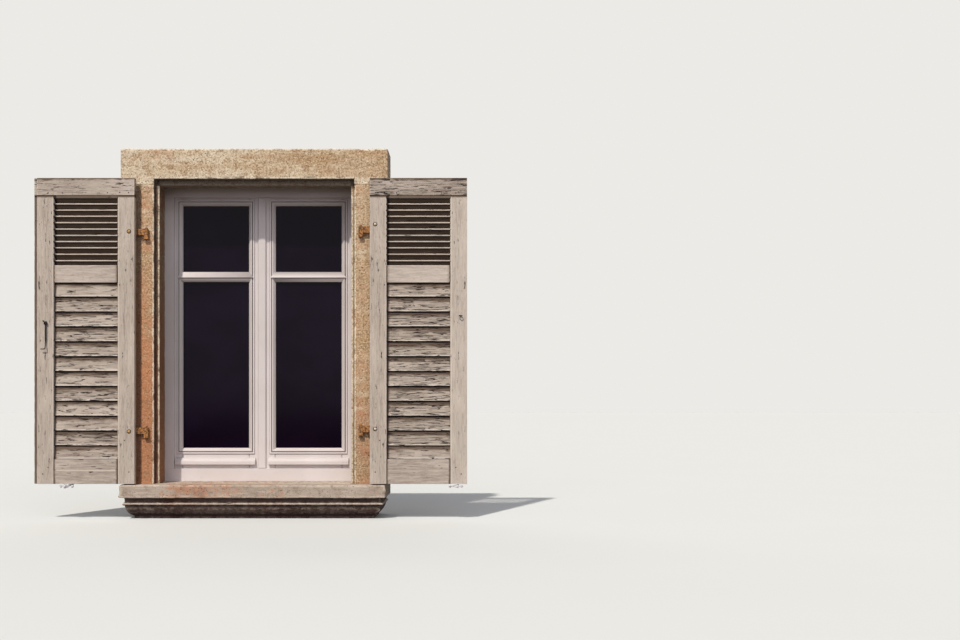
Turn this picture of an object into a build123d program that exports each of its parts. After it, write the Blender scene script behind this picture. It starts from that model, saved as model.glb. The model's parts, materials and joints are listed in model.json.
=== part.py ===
from build123d import *
from math import asin, cos, radians, sin, sqrt, tan
import os

# A pair of window shutters in their stone surround, with the casement window they protect.
# Both leaves are swung back against the wall. The catches that hold them there are turned aside.
# Sizes are in millimetres. X runs to the right, Y into the house and Z up.
# The origin is the middle of the sill's bed, straight below the front face of the stone.

# Stone sill
SILL_HEIGHT = 180.0
SILL_END_SETBACK = 5.0
SILL_PROJECTION = 65.0
SILL_INNER_LEDGE = 8.0
SILL_WASH = 3.0
SILL_FASCIA = 70.0
SILL_GROOVE_HEIGHT = 26.0
SILL_GROOVE_DEPTH = 22.0
SILL_BEAD_HEIGHT = 14.0
SILL_BEAD_SETBACK = 10.0
SILL_FILLET = 5.0
SILL_FOOT_SETBACK = 62.0
SILL_FOOT_HEIGHT = 14.0

# Stone jambs and lintel
JAMB_WIDTH = 174.0
STONE_DEPTH = 240.0
JAMB_HEIGHT = 1572.0
LINTEL_HEIGHT = 189.0
OPENING_HALF_WIDTH = 526.0
REBATE_DEPTH = 40.0
REBATE_WIDTH = 20.0
REBATE_RISE = 30.0
REVEAL_SPLAY = 19.0
SOFFIT_RISE = 18.0
STONE_ARRIS = 4.0

# Pintles: an iron pin on a square block whose tang is leaded into the jamb
PIN_RADIUS = 7.0
PIN_CLEARANCE = 0.05
PIN_STANDOUT = 9.0
PIN_DOME = 3.0
PINTLE_BLOCK = 24.0
PINTLE_BLOCK_HEIGHT = 20.0
TANG = 14.0
TANG_LENGTH = 85.0
PINTLE_OFFSET = 36.0
STONE_GAP = 1.0

# Knuckle hinges on the leaves: a flat plate rolled round the pin
HINGE_THICKNESS = 4.95
HINGE_KNUCKLE = 33.0
HINGE_PLATE_HEIGHT = 64.0
HINGE_PLATE_END = 76.0
HINGE_PLATE_START = 12.0
HINGE_FLARE = 14.0
HINGE_CORNER = 10.0
LEFT_UPPER_HINGE = 1320.0
LEFT_LOWER_HINGE = 280.0
RIGHT_UPPER_HINGE = 1333.0
RIGHT_LOWER_HINGE = 289.0
LEFT_UPPER_BOLT = 1318.0
LEFT_LOWER_BOLT = 277.0
RIGHT_UPPER_BOLT = 1356.0
RIGHT_LOWER_BOLT = 290.0

# Carriage bolts through the hinge stiles
BOLT_INSET = 28.0
BOLT_RADIUS = 3.5
BOLT_HEAD_RADIUS = 8.5
BOLT_HEAD_HEIGHT = 4.5
NUT_RADIUS = 7.0
NUT_HEIGHT = 5.5
NUT_SIDES = 6
BOLT_END = 1.5

# Shutter leaves
SIDE_GAP = 14.5
LEAF_HEAD_GAP = 5.0
LEAF_THICKNESS = 38.0
LEAF_FOOT_GAP = 4.0
LEFT_MEETING_GAP = 4.5
RIGHT_MEETING_GAP = 5.5
LEFT_LIP = 20.0
RIGHT_REBATE = 14.0
LIP_GAP = 2.0
STILE_WIDTH = 88.0
TOP_RAIL = 92.0
MIDDLE_RAIL = 91.0
BOTTOM_RAIL = 131.0
LOWER_PANEL = 917.0
ARRIS = 2.0
BEAD = 5.0
TENON_THICKNESS = 12.0
TENON_LENGTH = 45.0
TENON_SHOULDER = 15.0
HOUSING = 9.0

# Louvre slats in the upper part of each leaf
SLAT_PITCH = 32.8
SLAT_THICKNESS = 8.0
SLAT_TILT = 38.0
SLAT_SETBACK = 2.0
SLAT_TOP_GAP = 5.0
SLAT_NOSE = 2.0

# Lapped boards in the lower part of each leaf
BOARD_PITCH = 77.5
FIRST_BOARD = 70.0
BOARD_THICKNESS = 8.0
BOARD_LAP = 10.0
BOARD_STEP = 9.0
BOARD_SETBACK = 4.0
BOARD_NOSE = 1.5

# Hook that fastens the closed leaves, hanging from a staple on the left leaf
HOOK_INSET = 68.0
HOOK_HEIGHT = 841.0
HOOK_LENGTH = 134.0
HOOK_RADIUS = 4.0
HOOK_EYE_RADIUS = 7.0
HOOK_EYE_WIRE = 3.2
HOOK_STANDOFF = 9.0
HOOK_TAPER = 14.0
HOOK_TIP_RADIUS = 2.6
HOOK_CRANK = 8.0
HOOK_CRANK_LENGTH = 14.0
HOOK_DROP = 10.0
HOOK_TIP = 23.0
HOOK_BEND = 5.0
HOOK_HANG_GAP = 0.3
HOOK_WELD = 1.5
STAPLE_WIRE = 2.5
STAPLE_SPAN = 17.0
STAPLE_STANDOUT = 18.0
STAPLE_DEPTH = 22.0
STAPLE_CORNER = 5.0

# Screw eye on the right leaf, which takes the hook
EYE_INSET = 33.0
EYE_HEIGHT = 879.0
EYE_RADIUS = 8.0
EYE_WIRE = 2.5
EYE_SHANK = 2.3
EYE_STEM = 5.0
EYE_SCREW = 24.0

# Turning catches that hold the open leaves when turned up, on spikes driven into the wall
LEFT_CATCH_INSET = 168.0
RIGHT_CATCH_INSET = 50.0
CATCH_THICKNESS = 7.0
CATCH_GAP = 0.5
CATCH_HEAD_TOP = 30.0
CATCH_HEAD_RADIUS = 7.5
CATCH_NECK = 10.0
CATCH_SHOULDER = 11.0
CATCH_SHOULDER_RISE = 5.0
CATCH_TAIL = 22.0
CATCH_STEM = 6.5
CATCH_BALL = 6.5
CATCH_BALL_FACET = 25.0
CATCH_BALL_DROP = 38.0
CATCH_PASS = 1.0
SPINDLE_RADIUS = 5.0
SPINDLE_CLEARANCE = 0.05
SPIKE_RADIUS = 6.0
SPIKE_DEPTH = 60.0
SPIKE_POINT = 25.0
SPIKE_BLUNT = 1.0
RIVET_RADIUS = 7.0
RIVET_HEIGHT = 3.0

# Window frame behind the stone
FRAME_POST_WIDTH = 78.0
FRAME_DEPTH = 62.0
FRAME_FACE = 21.5
FRAME_REVEAL = 29.0
FRAME_SILL_HEIGHT = 69.0
FRAME_HEAD_REVEAL = 32.0
FRAME_HEAD_HEIGHT = 80.0
SASH_LAP = 13.0
SASH_SIDE_GAP = 5.0

# Sashes, opening inwards
SASH_THICKNESS = 40.0
SASH_FACE_GAP = 0.5
SASH_MEETING_GAP = 2.5
SASH_STILE = 58.0
SASH_MEETING_STILE = 70.5
SASH_BOTTOM_RAIL = 124.0
SASH_TOP_RAIL = 55.0
UPPER_PANE_HEIGHT = 360.0
GLAZING_BAR_HEIGHT = 54.0
GLAZING_BAR_PROUD = 10.0
GLAZING_BAR_LAP = 25.0
GLAZING_BEVEL = 7.0
SASH_BEVEL = 6.0
GLASS_THICKNESS = 4.0
GLASS_GROOVE = 8.0
GLASS_SETBACK = 15.0
WEATHER_BAR_RISE = 34.0
WEATHER_BAR_HEIGHT = 38.0
WEATHER_BAR_OUT = 24.0
WEATHER_BAR_NOSE = 12.0
WEATHER_BAR_END_GAP = 12.0
ASTRAGAL_WIDTH = 46.0
ASTRAGAL_THICKNESS = 12.0
ASTRAGAL_BEVEL = 6.0
ASTRAGAL_END_GAP = 2.0
COVER_WIDTH = 40.0
COVER_THICKNESS = 12.0
COVER_BEVEL = 5.0

# Window hinges, two to each sash, on the room side
WINDOW_HINGE_RADIUS = 6.0
WINDOW_HINGE_PIN = 3.0
WINDOW_HINGE_KNUCKLE = 42.0
WINDOW_HINGE_GAP = 0.5
WINDOW_HINGE_FLAP = 34.0
WINDOW_HINGE_PLATE = 2.0
WINDOW_HINGE_OFFSET = 7.0
WINDOW_HINGE_CLEAR = 0.5
WINDOW_HINGE_INSET = 180.0

# Window handle on the right sash, on the room side
HANDLE_X = 48.0
HANDLE_HEIGHT = 760.0
HANDLE_PLATE_WIDTH = 30.0
HANDLE_PLATE_HEIGHT = 130.0
HANDLE_PLATE_THICKNESS = 4.0
HANDLE_PLATE_CORNER = 6.0
HANDLE_NECK_RADIUS = 8.0
HANDLE_NECK_LENGTH = 42.0
HANDLE_LEVER = 112.0
HANDLE_LEVER_WIDTH = 20.0
HANDLE_LEVER_THICKNESS = 12.0
HANDLE_LEVER_CORNER = 9.0
HANDLE_FIT = 0.05
HANDLE_BOSS_RADIUS = 12.0
HANDLE_BOSS_HEIGHT = 6.0

# Working values of the cuts and curves
WIRE_SIDES = 8
OVERCUT = 1.0
DIAGONAL = sqrt(0.5)

# Places that follow from the sizes above
SILL_TOP = SILL_HEIGHT
HEAD_Z = SILL_TOP + JAMB_HEIGHT
SURROUND_TOP = HEAD_Z + LINTEL_HEIGHT
SURROUND_HALF_WIDTH = OPENING_HALF_WIDTH + JAMB_WIDTH
SILL_HALF_LENGTH = SURROUND_HALF_WIDTH - SILL_END_SETBACK
SILL_BACK = STONE_DEPTH + FRAME_DEPTH + SILL_INNER_LEDGE
LIP_X = OPENING_HALF_WIDTH - REBATE_WIDTH
KNUCKLE_RADIUS = PIN_RADIUS + PIN_CLEARANCE + HINGE_THICKNESS
AXIS_X = OPENING_HALF_WIDTH + PINTLE_OFFSET
AXIS_Y = -(KNUCKLE_RADIUS + STONE_GAP)
LEAF_BACK = AXIS_Y - KNUCKLE_RADIUS
LEAF_FRONT = LEAF_BACK - LEAF_THICKNESS
LEAF_EDGE = 2 * AXIS_X - (OPENING_HALF_WIDTH - SIDE_GAP)
LEAF_LOW = SILL_TOP + LEAF_FOOT_GAP
LEAF_TOP = HEAD_Z + REBATE_RISE - LEAF_HEAD_GAP
LEFT_LEAF_WIDTH = OPENING_HALF_WIDTH - SIDE_GAP - LEFT_MEETING_GAP + LEFT_LIP
RIGHT_LEAF_WIDTH = OPENING_HALF_WIDTH - SIDE_GAP - RIGHT_MEETING_GAP
LEFT_FREE_EDGE = LEAF_EDGE + LEFT_LEAF_WIDTH
RIGHT_FREE_EDGE = LEAF_EDGE + RIGHT_LEAF_WIDTH
TOP_RAIL_LOW = LEAF_TOP - TOP_RAIL
BOTTOM_RAIL_TOP = LEAF_LOW + BOTTOM_RAIL
MIDDLE_RAIL_LOW = BOTTOM_RAIL_TOP + LOWER_PANEL
MIDDLE_RAIL_TOP = MIDDLE_RAIL_LOW + MIDDLE_RAIL
SPINDLE_Z = LEAF_LOW - CATCH_PASS - CATCH_SHOULDER
CATCH_BACK = LEAF_FRONT - CATCH_GAP
CATCH_FRONT = CATCH_BACK - CATCH_THICKNESS
LEFT_CATCH_X = LEFT_FREE_EDGE - LEFT_CATCH_INSET
RIGHT_CATCH_X = RIGHT_FREE_EDGE - RIGHT_CATCH_INSET
FRAME_Y = STONE_DEPTH
FRAME_STEP = FRAME_Y + FRAME_FACE
FRAME_BACK = FRAME_Y + FRAME_DEPTH
SASH_FRONT = FRAME_STEP + SASH_FACE_GAP
SASH_BACK = SASH_FRONT + SASH_THICKNESS
FRAME_SIGHT = LIP_X - FRAME_REVEAL
FRAME_HALF_WIDTH = FRAME_SIGHT + FRAME_POST_WIDTH
FRAME_HEAD_SIGHT = HEAD_Z - FRAME_HEAD_REVEAL
FRAME_TOP = FRAME_HEAD_SIGHT + FRAME_HEAD_HEIGHT
FRAME_SILL_SIGHT = SILL_TOP + FRAME_SILL_HEIGHT
SASH_EDGE = FRAME_SIGHT + SASH_LAP
SASH_LOW = FRAME_SILL_SIGHT - SASH_LAP
SASH_TOP = FRAME_HEAD_SIGHT + SASH_LAP
PANE_EDGE = SASH_EDGE - SASH_STILE
PANE_INNER_EDGE = SASH_MEETING_GAP + SASH_MEETING_STILE
PANE_LOW = SASH_LOW + SASH_BOTTOM_RAIL
PANE_TOP = SASH_TOP - SASH_TOP_RAIL
BAR_TOP = PANE_TOP - UPPER_PANE_HEIGHT
BAR_LOW = BAR_TOP - GLAZING_BAR_HEIGHT
WINDOW_HINGE_X = SASH_EDGE + WINDOW_HINGE_OFFSET
WINDOW_HINGE_Y = SASH_BACK + WINDOW_HINGE_RADIUS + WINDOW_HINGE_CLEAR


def block(x0, x1, y0, y1, z0, z1):
    """A box between two corners."""
    corner = (Align.MIN, Align.MIN, Align.MIN)
    return Pos(x0, y0, z0) * Box(x1 - x0, y1 - y0, z1 - z0, align=corner)


def prism_x(points, x0, x1):
    """An outline of (y, z) points carried along X."""
    outline = Plane.YZ.offset(x0) * Polyline(*points, close=True)
    return extrude(make_face(outline), x1 - x0, dir=(1, 0, 0))


def prism_y(points, y0, y1):
    """An outline of (x, z) points carried along Y."""
    plane = Plane(origin=(0, y0, 0), x_dir=(1, 0, 0), z_dir=(0, -1, 0))
    return extrude(make_face(plane * Polyline(*points, close=True)), y1 - y0, dir=(0, 1, 0))


def prism_z(points, z0, z1):
    """An outline of (x, y) points carried up Z."""
    outline = Plane.XY.offset(z0) * Polyline(*points, close=True)
    return extrude(make_face(outline), z1 - z0, dir=(0, 0, 1))


def rod_x(radius, y, z, x0, x1):
    """A round bar along X."""
    axis = Plane(origin=(x0, y, z), x_dir=(0, 1, 0), z_dir=(1, 0, 0))
    return axis * Cylinder(radius, x1 - x0, align=(Align.CENTER, Align.CENTER, Align.MIN))


def rod_y(radius, x, z, y0, y1):
    """A round bar along Y."""
    axis = Plane(origin=(x, y1, z), x_dir=(1, 0, 0), z_dir=(0, -1, 0))
    return axis * Cylinder(radius, y1 - y0, align=(Align.CENTER, Align.CENTER, Align.MIN))


def rod_z(radius, x, y, z0, z1):
    """A round bar along Z."""
    return Pos(x, y, z0) * Cylinder(radius, z1 - z0, align=(Align.CENTER, Align.CENTER, Align.MIN))


def dome_y(radius, height, x, y, z):
    """A shallow round head that stands out towards -Y from the plane y."""
    ball = (radius * radius + height * height) / (2 * height)
    half_angle = asin(radius / ball) / 2
    crown = ThreePointArc(
        (radius, 0),
        (ball * sin(half_angle), ball * cos(half_angle) - ball + height),
        (0, height),
    )
    section = make_face([Line((0, height), (0, 0)), Line((0, 0), (radius, 0)), crown])
    place = Plane(origin=(x, y, z), x_dir=(1, 0, 0), z_dir=(0, 0, -1))
    return revolve(place * section, Axis((x, y, z), (0, 1, 0)))


def wire_section(radius, plane):
    """The eight-sided section of forged wire, as large round as a circle of the radius."""
    return plane * RegularPolygon(radius, WIRE_SIDES)


def wire_ring(radius, wire, x, y, z, normal):
    """A closed ring of forged wire in the plane across the normal."""
    across = Vector(1, 0, 0)
    plane = Plane(origin=(x, y, z), x_dir=across, z_dir=normal)
    start = plane * Pos(radius, 0, 0)
    section = wire_section(wire, Plane(origin=start.position, x_dir=across, z_dir=plane.y_dir))
    return revolve(section, Axis((x, y, z), normal))


def to_left(shape):
    """The same shape on the other side of the window's middle."""
    return mirror(shape, about=Plane.YZ)


def save(shape, node):
    export_step(shape, f"parts/{node}.step")


# Stone surround

def sill_section(depth):
    """The moulded edge of the sill: set-back from the fascia against height, closed at a depth."""
    groove_top = SILL_HEIGHT - SILL_FASCIA
    groove_low = groove_top - SILL_GROOVE_HEIGHT
    bead_low = groove_low - SILL_BEAD_HEIGHT
    bead_mid = (groove_low + bead_low) / 2
    bead_out = SILL_BEAD_SETBACK
    cove_start = SILL_BEAD_SETBACK + SILL_FILLET
    cove_low = SILL_FOOT_HEIGHT
    bulge = SILL_BEAD_HEIGHT / 2
    upper = Polyline(
        (depth, SILL_HEIGHT),
        (SILL_PROJECTION, SILL_HEIGHT),
        (0, SILL_HEIGHT - SILL_WASH),
        (0, groove_top),
        (SILL_GROOVE_DEPTH, groove_top),
        (SILL_GROOVE_DEPTH, groove_low),
        (bead_out + bulge, groove_low),
    )
    bead = ThreePointArc(
        (bead_out + bulge, groove_low),
        (bead_out, bead_mid),
        (bead_out + bulge, bead_low),
    )
    step = Line((bead_out + bulge, bead_low), (cove_start + bulge, bead_low))
    run = SILL_FOOT_SETBACK - cove_start - bulge
    drop = bead_low - cove_low
    cove = ThreePointArc(
        (cove_start + bulge, bead_low),
        (SILL_FOOT_SETBACK - run * DIAGONAL, cove_low + drop * (1 - DIAGONAL)),
        (SILL_FOOT_SETBACK, cove_low),
    )
    lower = Polyline((SILL_FOOT_SETBACK, cove_low), (SILL_FOOT_SETBACK, 0), (depth, 0), (depth, SILL_HEIGHT))
    return make_face([upper, bead, step, cove, lower])


def make_sill():
    """One stone, moulded along the front and returned at both ends."""
    front_depth = SILL_PROJECTION + SILL_BACK
    front_plane = Plane(origin=(-SILL_HALF_LENGTH, -SILL_PROJECTION, 0), x_dir=(0, 1, 0), z_dir=(1, 0, 0))
    front = extrude(front_plane * sill_section(front_depth), 2 * SILL_HALF_LENGTH, dir=(1, 0, 0))
    right_plane = Plane(origin=(SILL_HALF_LENGTH, -SILL_PROJECTION, 0), x_dir=(-1, 0, 0), z_dir=(0, 1, 0))
    right = extrude(right_plane * sill_section(2 * SILL_HALF_LENGTH), front_depth, dir=(0, 1, 0))
    return front & right & to_left(right)


def make_jamb():
    """The right-hand jamb: a rebate for the closed leaf, then a reveal splayed towards the room."""
    plan = [
        (OPENING_HALF_WIDTH + STONE_ARRIS, 0),
        (OPENING_HALF_WIDTH, STONE_ARRIS),
        (OPENING_HALF_WIDTH, REBATE_DEPTH),
        (LIP_X, REBATE_DEPTH),
        (LIP_X + REVEAL_SPLAY, STONE_DEPTH),
        (SURROUND_HALF_WIDTH, STONE_DEPTH),
        (SURROUND_HALF_WIDTH, 0),
    ]
    return prism_z(plan, SILL_TOP, HEAD_Z)


def make_lintel():
    """The lintel, with the rebate and the reveal carried across its underside."""
    stone = block(-SURROUND_HALF_WIDTH, SURROUND_HALF_WIDTH, 0, STONE_DEPTH, HEAD_Z, SURROUND_TOP)
    rebate_top = HEAD_Z + REBATE_RISE
    below = HEAD_Z - OVERCUT
    rebate = [
        (-OVERCUT, below),
        (-OVERCUT, rebate_top + STONE_ARRIS + OVERCUT),
        (STONE_ARRIS, rebate_top),
        (REBATE_DEPTH, rebate_top),
        (REBATE_DEPTH, below),
    ]
    stone -= prism_x(rebate, -OPENING_HALF_WIDTH, OPENING_HALF_WIDTH)
    back = STONE_DEPTH + OVERCUT
    rise = SOFFIT_RISE * (back - REBATE_DEPTH) / (STONE_DEPTH - REBATE_DEPTH)
    splay = REVEAL_SPLAY * (back - REBATE_DEPTH) / (STONE_DEPTH - REBATE_DEPTH)
    low = Plane(origin=(0, REBATE_DEPTH, below), x_dir=(1, 0, 0), z_dir=(0, 1, 0))
    high = Plane(origin=(0, back, below), x_dir=(1, 0, 0), z_dir=(0, 1, 0))
    to_top = (Align.CENTER, Align.MAX)
    mouth = low * Rectangle(2 * LIP_X, OVERCUT, align=to_top)
    inner = high * Rectangle(2 * (LIP_X + splay), OVERCUT + rise, align=to_top)
    return stone - loft([mouth, inner])


# Pintles and the hinges that hang on them

def make_pintle(z):
    """A right-hand pintle whose pin takes a knuckle with its middle at height z."""
    seat = z - HINGE_KNUCKLE / 2
    half = PINTLE_BLOCK / 2
    front = AXIS_Y - half
    lump = block(AXIS_X - half, AXIS_X + half, front, 0, seat - PINTLE_BLOCK_HEIGHT, seat)
    lump = chamfer(lump.edges().filter_by(Axis.Z).group_by(Axis.Y)[0], ARRIS)
    pin_top = z + HINGE_KNUCKLE / 2 + PIN_STANDOUT
    pin = rod_z(PIN_RADIUS, AXIS_X, AXIS_Y, seat, pin_top)
    pin = chamfer(pin.edges().group_by(Axis.Z)[-1], PIN_DOME)
    return lump + pin + make_tang(z)


def make_tang(z):
    """The square tang that the jamb is cut for."""
    middle = z - HINGE_KNUCKLE / 2 - PINTLE_BLOCK_HEIGHT / 2
    half = TANG / 2
    return block(AXIS_X - half, AXIS_X + half, 0, TANG_LENGTH, middle - half, middle + half)


def make_hinge(z, bolt_z):
    """A rolled knuckle on a flared plate that lies on the wall side of the leaf."""
    plate_far = LEAF_EDGE + HINGE_PLATE_END
    low = z - HINGE_PLATE_HEIGHT
    high = z + HINGE_PLATE_HEIGHT
    ring = rod_z(KNUCKLE_RADIUS, AXIS_X, AXIS_Y, low, high)
    plan = ring + block(AXIS_X, plate_far, LEAF_BACK, LEAF_BACK + HINGE_THICKNESS, low, high)
    half = HINGE_KNUCKLE / 2
    tall = HINGE_PLATE_HEIGHT / 2
    middle = (z + bolt_z) / 2
    near = LEAF_EDGE + HINGE_PLATE_START
    flare = near + HINGE_FLARE
    left = AXIS_X - KNUCKLE_RADIUS - OVERCUT
    outline = [
        (left, z - half),
        (near, z - half),
        (flare, middle - tall),
        (plate_far - HINGE_CORNER, middle - tall),
        (plate_far, middle - tall + HINGE_CORNER),
        (plate_far, middle + tall - HINGE_CORNER),
        (plate_far - HINGE_CORNER, middle + tall),
        (flare, middle + tall),
        (near, z + half),
        (left, z + half),
    ]
    hinge = plan & prism_y(outline, LEAF_BACK - OVERCUT, 0)
    hinge -= rod_z(PIN_RADIUS + PIN_CLEARANCE, AXIS_X, AXIS_Y, z - half - OVERCUT, z + half + OVERCUT)
    return hinge - bolt_hole(bolt_z)


def bolt_hole(z):
    """The hole that a carriage bolt fills, through leaf and hinge."""
    return rod_y(BOLT_RADIUS, LEAF_EDGE + BOLT_INSET, z, LEAF_FRONT, 0)


def make_bolt(z):
    """A carriage bolt with its domed head on the leaf's inner face, and its nut on the plate."""
    x = LEAF_EDGE + BOLT_INSET
    plate = LEAF_BACK + HINGE_THICKNESS
    end = plate + NUT_HEIGHT + BOLT_END
    shank = rod_y(BOLT_RADIUS, x, z, LEAF_FRONT, end)
    bolt = shank + dome_y(BOLT_HEAD_RADIUS, BOLT_HEAD_HEIGHT, x, LEAF_FRONT, z)
    face = Plane(origin=(x, plate + NUT_HEIGHT, z), x_dir=(1, 0, 0), z_dir=(0, -1, 0))
    nut = extrude(face * RegularPolygon(NUT_RADIUS, NUT_SIDES), NUT_HEIGHT, dir=(0, -1, 0))
    return [bolt, nut - shank]


# Shutter leaves, modelled open on the right-hand side

def leaf_point(u, v):
    """Plan place of a point u from the hinge edge and v from the wall side of the open leaf."""
    return (LEAF_EDGE + u, LEAF_BACK - v)


def rail_outline(low, high, bevel_low, bevel_high, slope=0.0):
    """Section of a rail in (y, z): its inner arrises bevelled, its top sloped with the louvres."""
    front = LEAF_FRONT
    drop = slope * LEAF_THICKNESS
    return [
        (LEAF_BACK, low),
        (front + bevel_low, low),
        (front, low + bevel_low),
        (front, high - bevel_high),
        (front + bevel_high, high),
        (LEAF_BACK, high - drop),
    ]


def edge_cut(width, is_left):
    """What the rebate takes off a leaf's free edge: inner half on the left leaf, outer on the right."""
    half = LEAF_THICKNESS / 2
    if is_left:
        start = LEAF_EDGE + width - LEFT_LIP
        low_y = LEAF_FRONT - OVERCUT
        high_y = LEAF_BACK - half + LIP_GAP / 2
    else:
        start = LEAF_EDGE + width - RIGHT_REBATE
        low_y = LEAF_BACK - half - LIP_GAP / 2
        high_y = LEAF_BACK + OVERCUT
    end = LEAF_EDGE + width + OVERCUT
    return block(start, end, low_y, high_y, LEAF_LOW - OVERCUT, LEAF_TOP + OVERCUT)


def stile(u0, u1, bead_at_high):
    """An upright of the leaf, with a bead along its panel side and a tenon into the top rail."""
    near_bead = ARRIS if bead_at_high else BEAD
    far_bead = BEAD if bead_at_high else ARRIS
    front = LEAF_THICKNESS
    plan = [
        leaf_point(u0, 0),
        leaf_point(u0, front - near_bead),
        leaf_point(u0 + near_bead, front),
        leaf_point(u1 - far_bead, front),
        leaf_point(u1, front - far_bead),
        leaf_point(u1, 0),
    ]
    return prism_z(plan, LEAF_LOW, TOP_RAIL_LOW) + stile_tenon(u0, u1)


def stile_tenon(u0, u1):
    """The tenon on a stile's head."""
    middle = LEAF_BACK - LEAF_THICKNESS / 2
    x0 = LEAF_EDGE + u0 + TENON_SHOULDER
    x1 = LEAF_EDGE + u1 - TENON_SHOULDER
    half = TENON_THICKNESS / 2
    return block(x0, x1, middle - half, middle + half, TOP_RAIL_LOW, TOP_RAIL_LOW + TENON_LENGTH)


def rail_tenons(x0, x1, low, high):
    """Tenons on both ends of a rail between the stiles."""
    middle = LEAF_BACK - LEAF_THICKNESS / 2
    half = TENON_THICKNESS / 2
    z0 = low + TENON_SHOULDER
    z1 = high - 2 * TENON_SHOULDER
    near = block(x0 - TENON_LENGTH, x0, middle - half, middle + half, z0, z1)
    far = block(x1, x1 + TENON_LENGTH, middle - half, middle + half, z0, z1)
    return near + far


def slat_sections():
    """Sections of the louvre slats in (y, z): the inner edge is the high one."""
    slope = tan(radians(SLAT_TILT))
    tall = SLAT_THICKNESS / cos(radians(SLAT_TILT))
    front = LEAF_FRONT + SLAT_SETBACK
    back = LEAF_BACK - SLAT_SETBACK
    drop = (back - front) * slope
    room = TOP_RAIL_LOW - SLAT_TOP_GAP - MIDDLE_RAIL_TOP
    count = int((room - tall) / SLAT_PITCH) + 1
    sections = []
    for i in range(count):
        top = TOP_RAIL_LOW - SLAT_TOP_GAP - i * SLAT_PITCH
        sections.append([
            (front, top - SLAT_NOSE),
            (front + SLAT_NOSE, top - SLAT_NOSE * slope),
            (back, top - drop),
            (back, top - drop - tall),
            (front + SLAT_NOSE, top - tall - SLAT_NOSE * slope),
            (front, top - tall + SLAT_NOSE * (1 - slope)),
        ])
    return sections


def board_sections():
    """Sections of the lapped boards in (y, z): each lower edge stands a step out over the board below."""
    front = LEAF_FRONT + BOARD_SETBACK
    lean = BOARD_STEP / BOARD_PITCH
    sections = []
    low = BOTTOM_RAIL_TOP
    step = FIRST_BOARD
    while low < MIDDLE_RAIL_LOW - BOARD_THICKNESS:
        high = min(low + step + BOARD_LAP, MIDDLE_RAIL_LOW)
        set_back = lean * (high - low)
        sections.append([
            (front + BOARD_NOSE, low),
            (front, low + BOARD_NOSE),
            (front + set_back, high),
            (front + set_back + BOARD_THICKNESS, high),
            (front + BOARD_THICKNESS, low),
        ])
        low += step
        step = BOARD_PITCH
    return sections


def make_leaf(width, is_left, bolts):
    """Every wooden piece of one leaf, named, in its open place on the right-hand side."""
    face_width = width - LEFT_LIP if is_left else width
    inner = face_width - STILE_WIDTH
    x0 = LEAF_EDGE + STILE_WIDTH
    x1 = LEAF_EDGE + inner
    cut = edge_cut(width, is_left)
    slope = tan(radians(SLAT_TILT))
    infill_x = (x0 - HOUSING, x1 + HOUSING)
    slats = [prism_x(section, *infill_x) for section in slat_sections()]
    boards = [prism_x(section, *infill_x) for section in board_sections()]
    middle = prism_x(rail_outline(MIDDLE_RAIL_LOW, MIDDLE_RAIL_TOP, ARRIS, ARRIS, slope), x0, x1)
    middle_tenons = rail_tenons(x0, x1, MIDDLE_RAIL_LOW, MIDDLE_RAIL_TOP)
    bottom = prism_x(rail_outline(LEAF_LOW, BOTTOM_RAIL_TOP, ARRIS, ARRIS), x0, x1)
    bottom_tenons = rail_tenons(x0, x1, LEAF_LOW, BOTTOM_RAIL_TOP)
    hinge_stile = stile(0, STILE_WIDTH, True)
    meeting_stile = stile(inner, width, False) - cut
    for piece in slats + boards + [middle_tenons, bottom_tenons]:
        hinge_stile -= piece
        meeting_stile -= piece
    for z in bolts:
        hinge_stile -= bolt_hole(z)
    top = prism_x(rail_outline(TOP_RAIL_LOW, LEAF_TOP, ARRIS, ARRIS), LEAF_EDGE, LEAF_EDGE + width)
    top = top - cut - stile_tenon(0, STILE_WIDTH) - (stile_tenon(inner, width) - cut)
    return {
        "hinge_stile": hinge_stile,
        "meeting_stile": meeting_stile,
        "top_rail": top,
        "middle_rail": middle + middle_tenons,
        "bottom_rail": bottom + bottom_tenons,
        "louvre_slats": Compound(children=slats),
        "boards": Compound(children=boards),
    }


# Hook, staple and screw eye

def make_hook():
    """The hook: its eye hangs on the staple's leg, its rod tapers to a crank and a sideways tip."""
    x = LEFT_FREE_EDGE - HOOK_INSET
    y = LEAF_FRONT - HOOK_STANDOFF
    slack = HOOK_EYE_RADIUS - HOOK_EYE_WIRE - STAPLE_WIRE - HOOK_HANG_GAP
    z = SILL_TOP + HOOK_HEIGHT - slack
    eye = wire_ring(HOOK_EYE_RADIUS, HOOK_EYE_WIRE, x, y, z, (0, 1, 0))
    low = z - HOOK_LENGTH
    crank_low = low + HOOK_DROP
    crank_high = crank_low + HOOK_CRANK_LENGTH
    taper_low = crank_high + HOOK_DROP
    taper_high = taper_low + HOOK_TAPER
    thick = wire_section(HOOK_RADIUS, Plane(origin=(x, y, taper_high)))
    rod = extrude(thick, z - HOOK_EYE_RADIUS + HOOK_WELD - taper_high, dir=(0, 0, 1))
    taper = loft([wire_section(HOOK_TIP_RADIUS, Plane(origin=(x, y, taper_low))), thick])
    points = [
        (x, y, taper_low),
        (x, y, crank_high),
        (x, y - HOOK_CRANK, crank_low),
        (x, y - HOOK_CRANK, low),
        (x + HOOK_TIP, y - HOOK_CRANK, low),
    ]
    route = FilletPolyline(*points, radius=HOOK_BEND)
    section = wire_section(HOOK_TIP_RADIUS, Plane(origin=points[0], x_dir=(1, 0, 0), z_dir=(0, 0, -1)))
    return eye + rod + taper + sweep(section, path=route)


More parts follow.
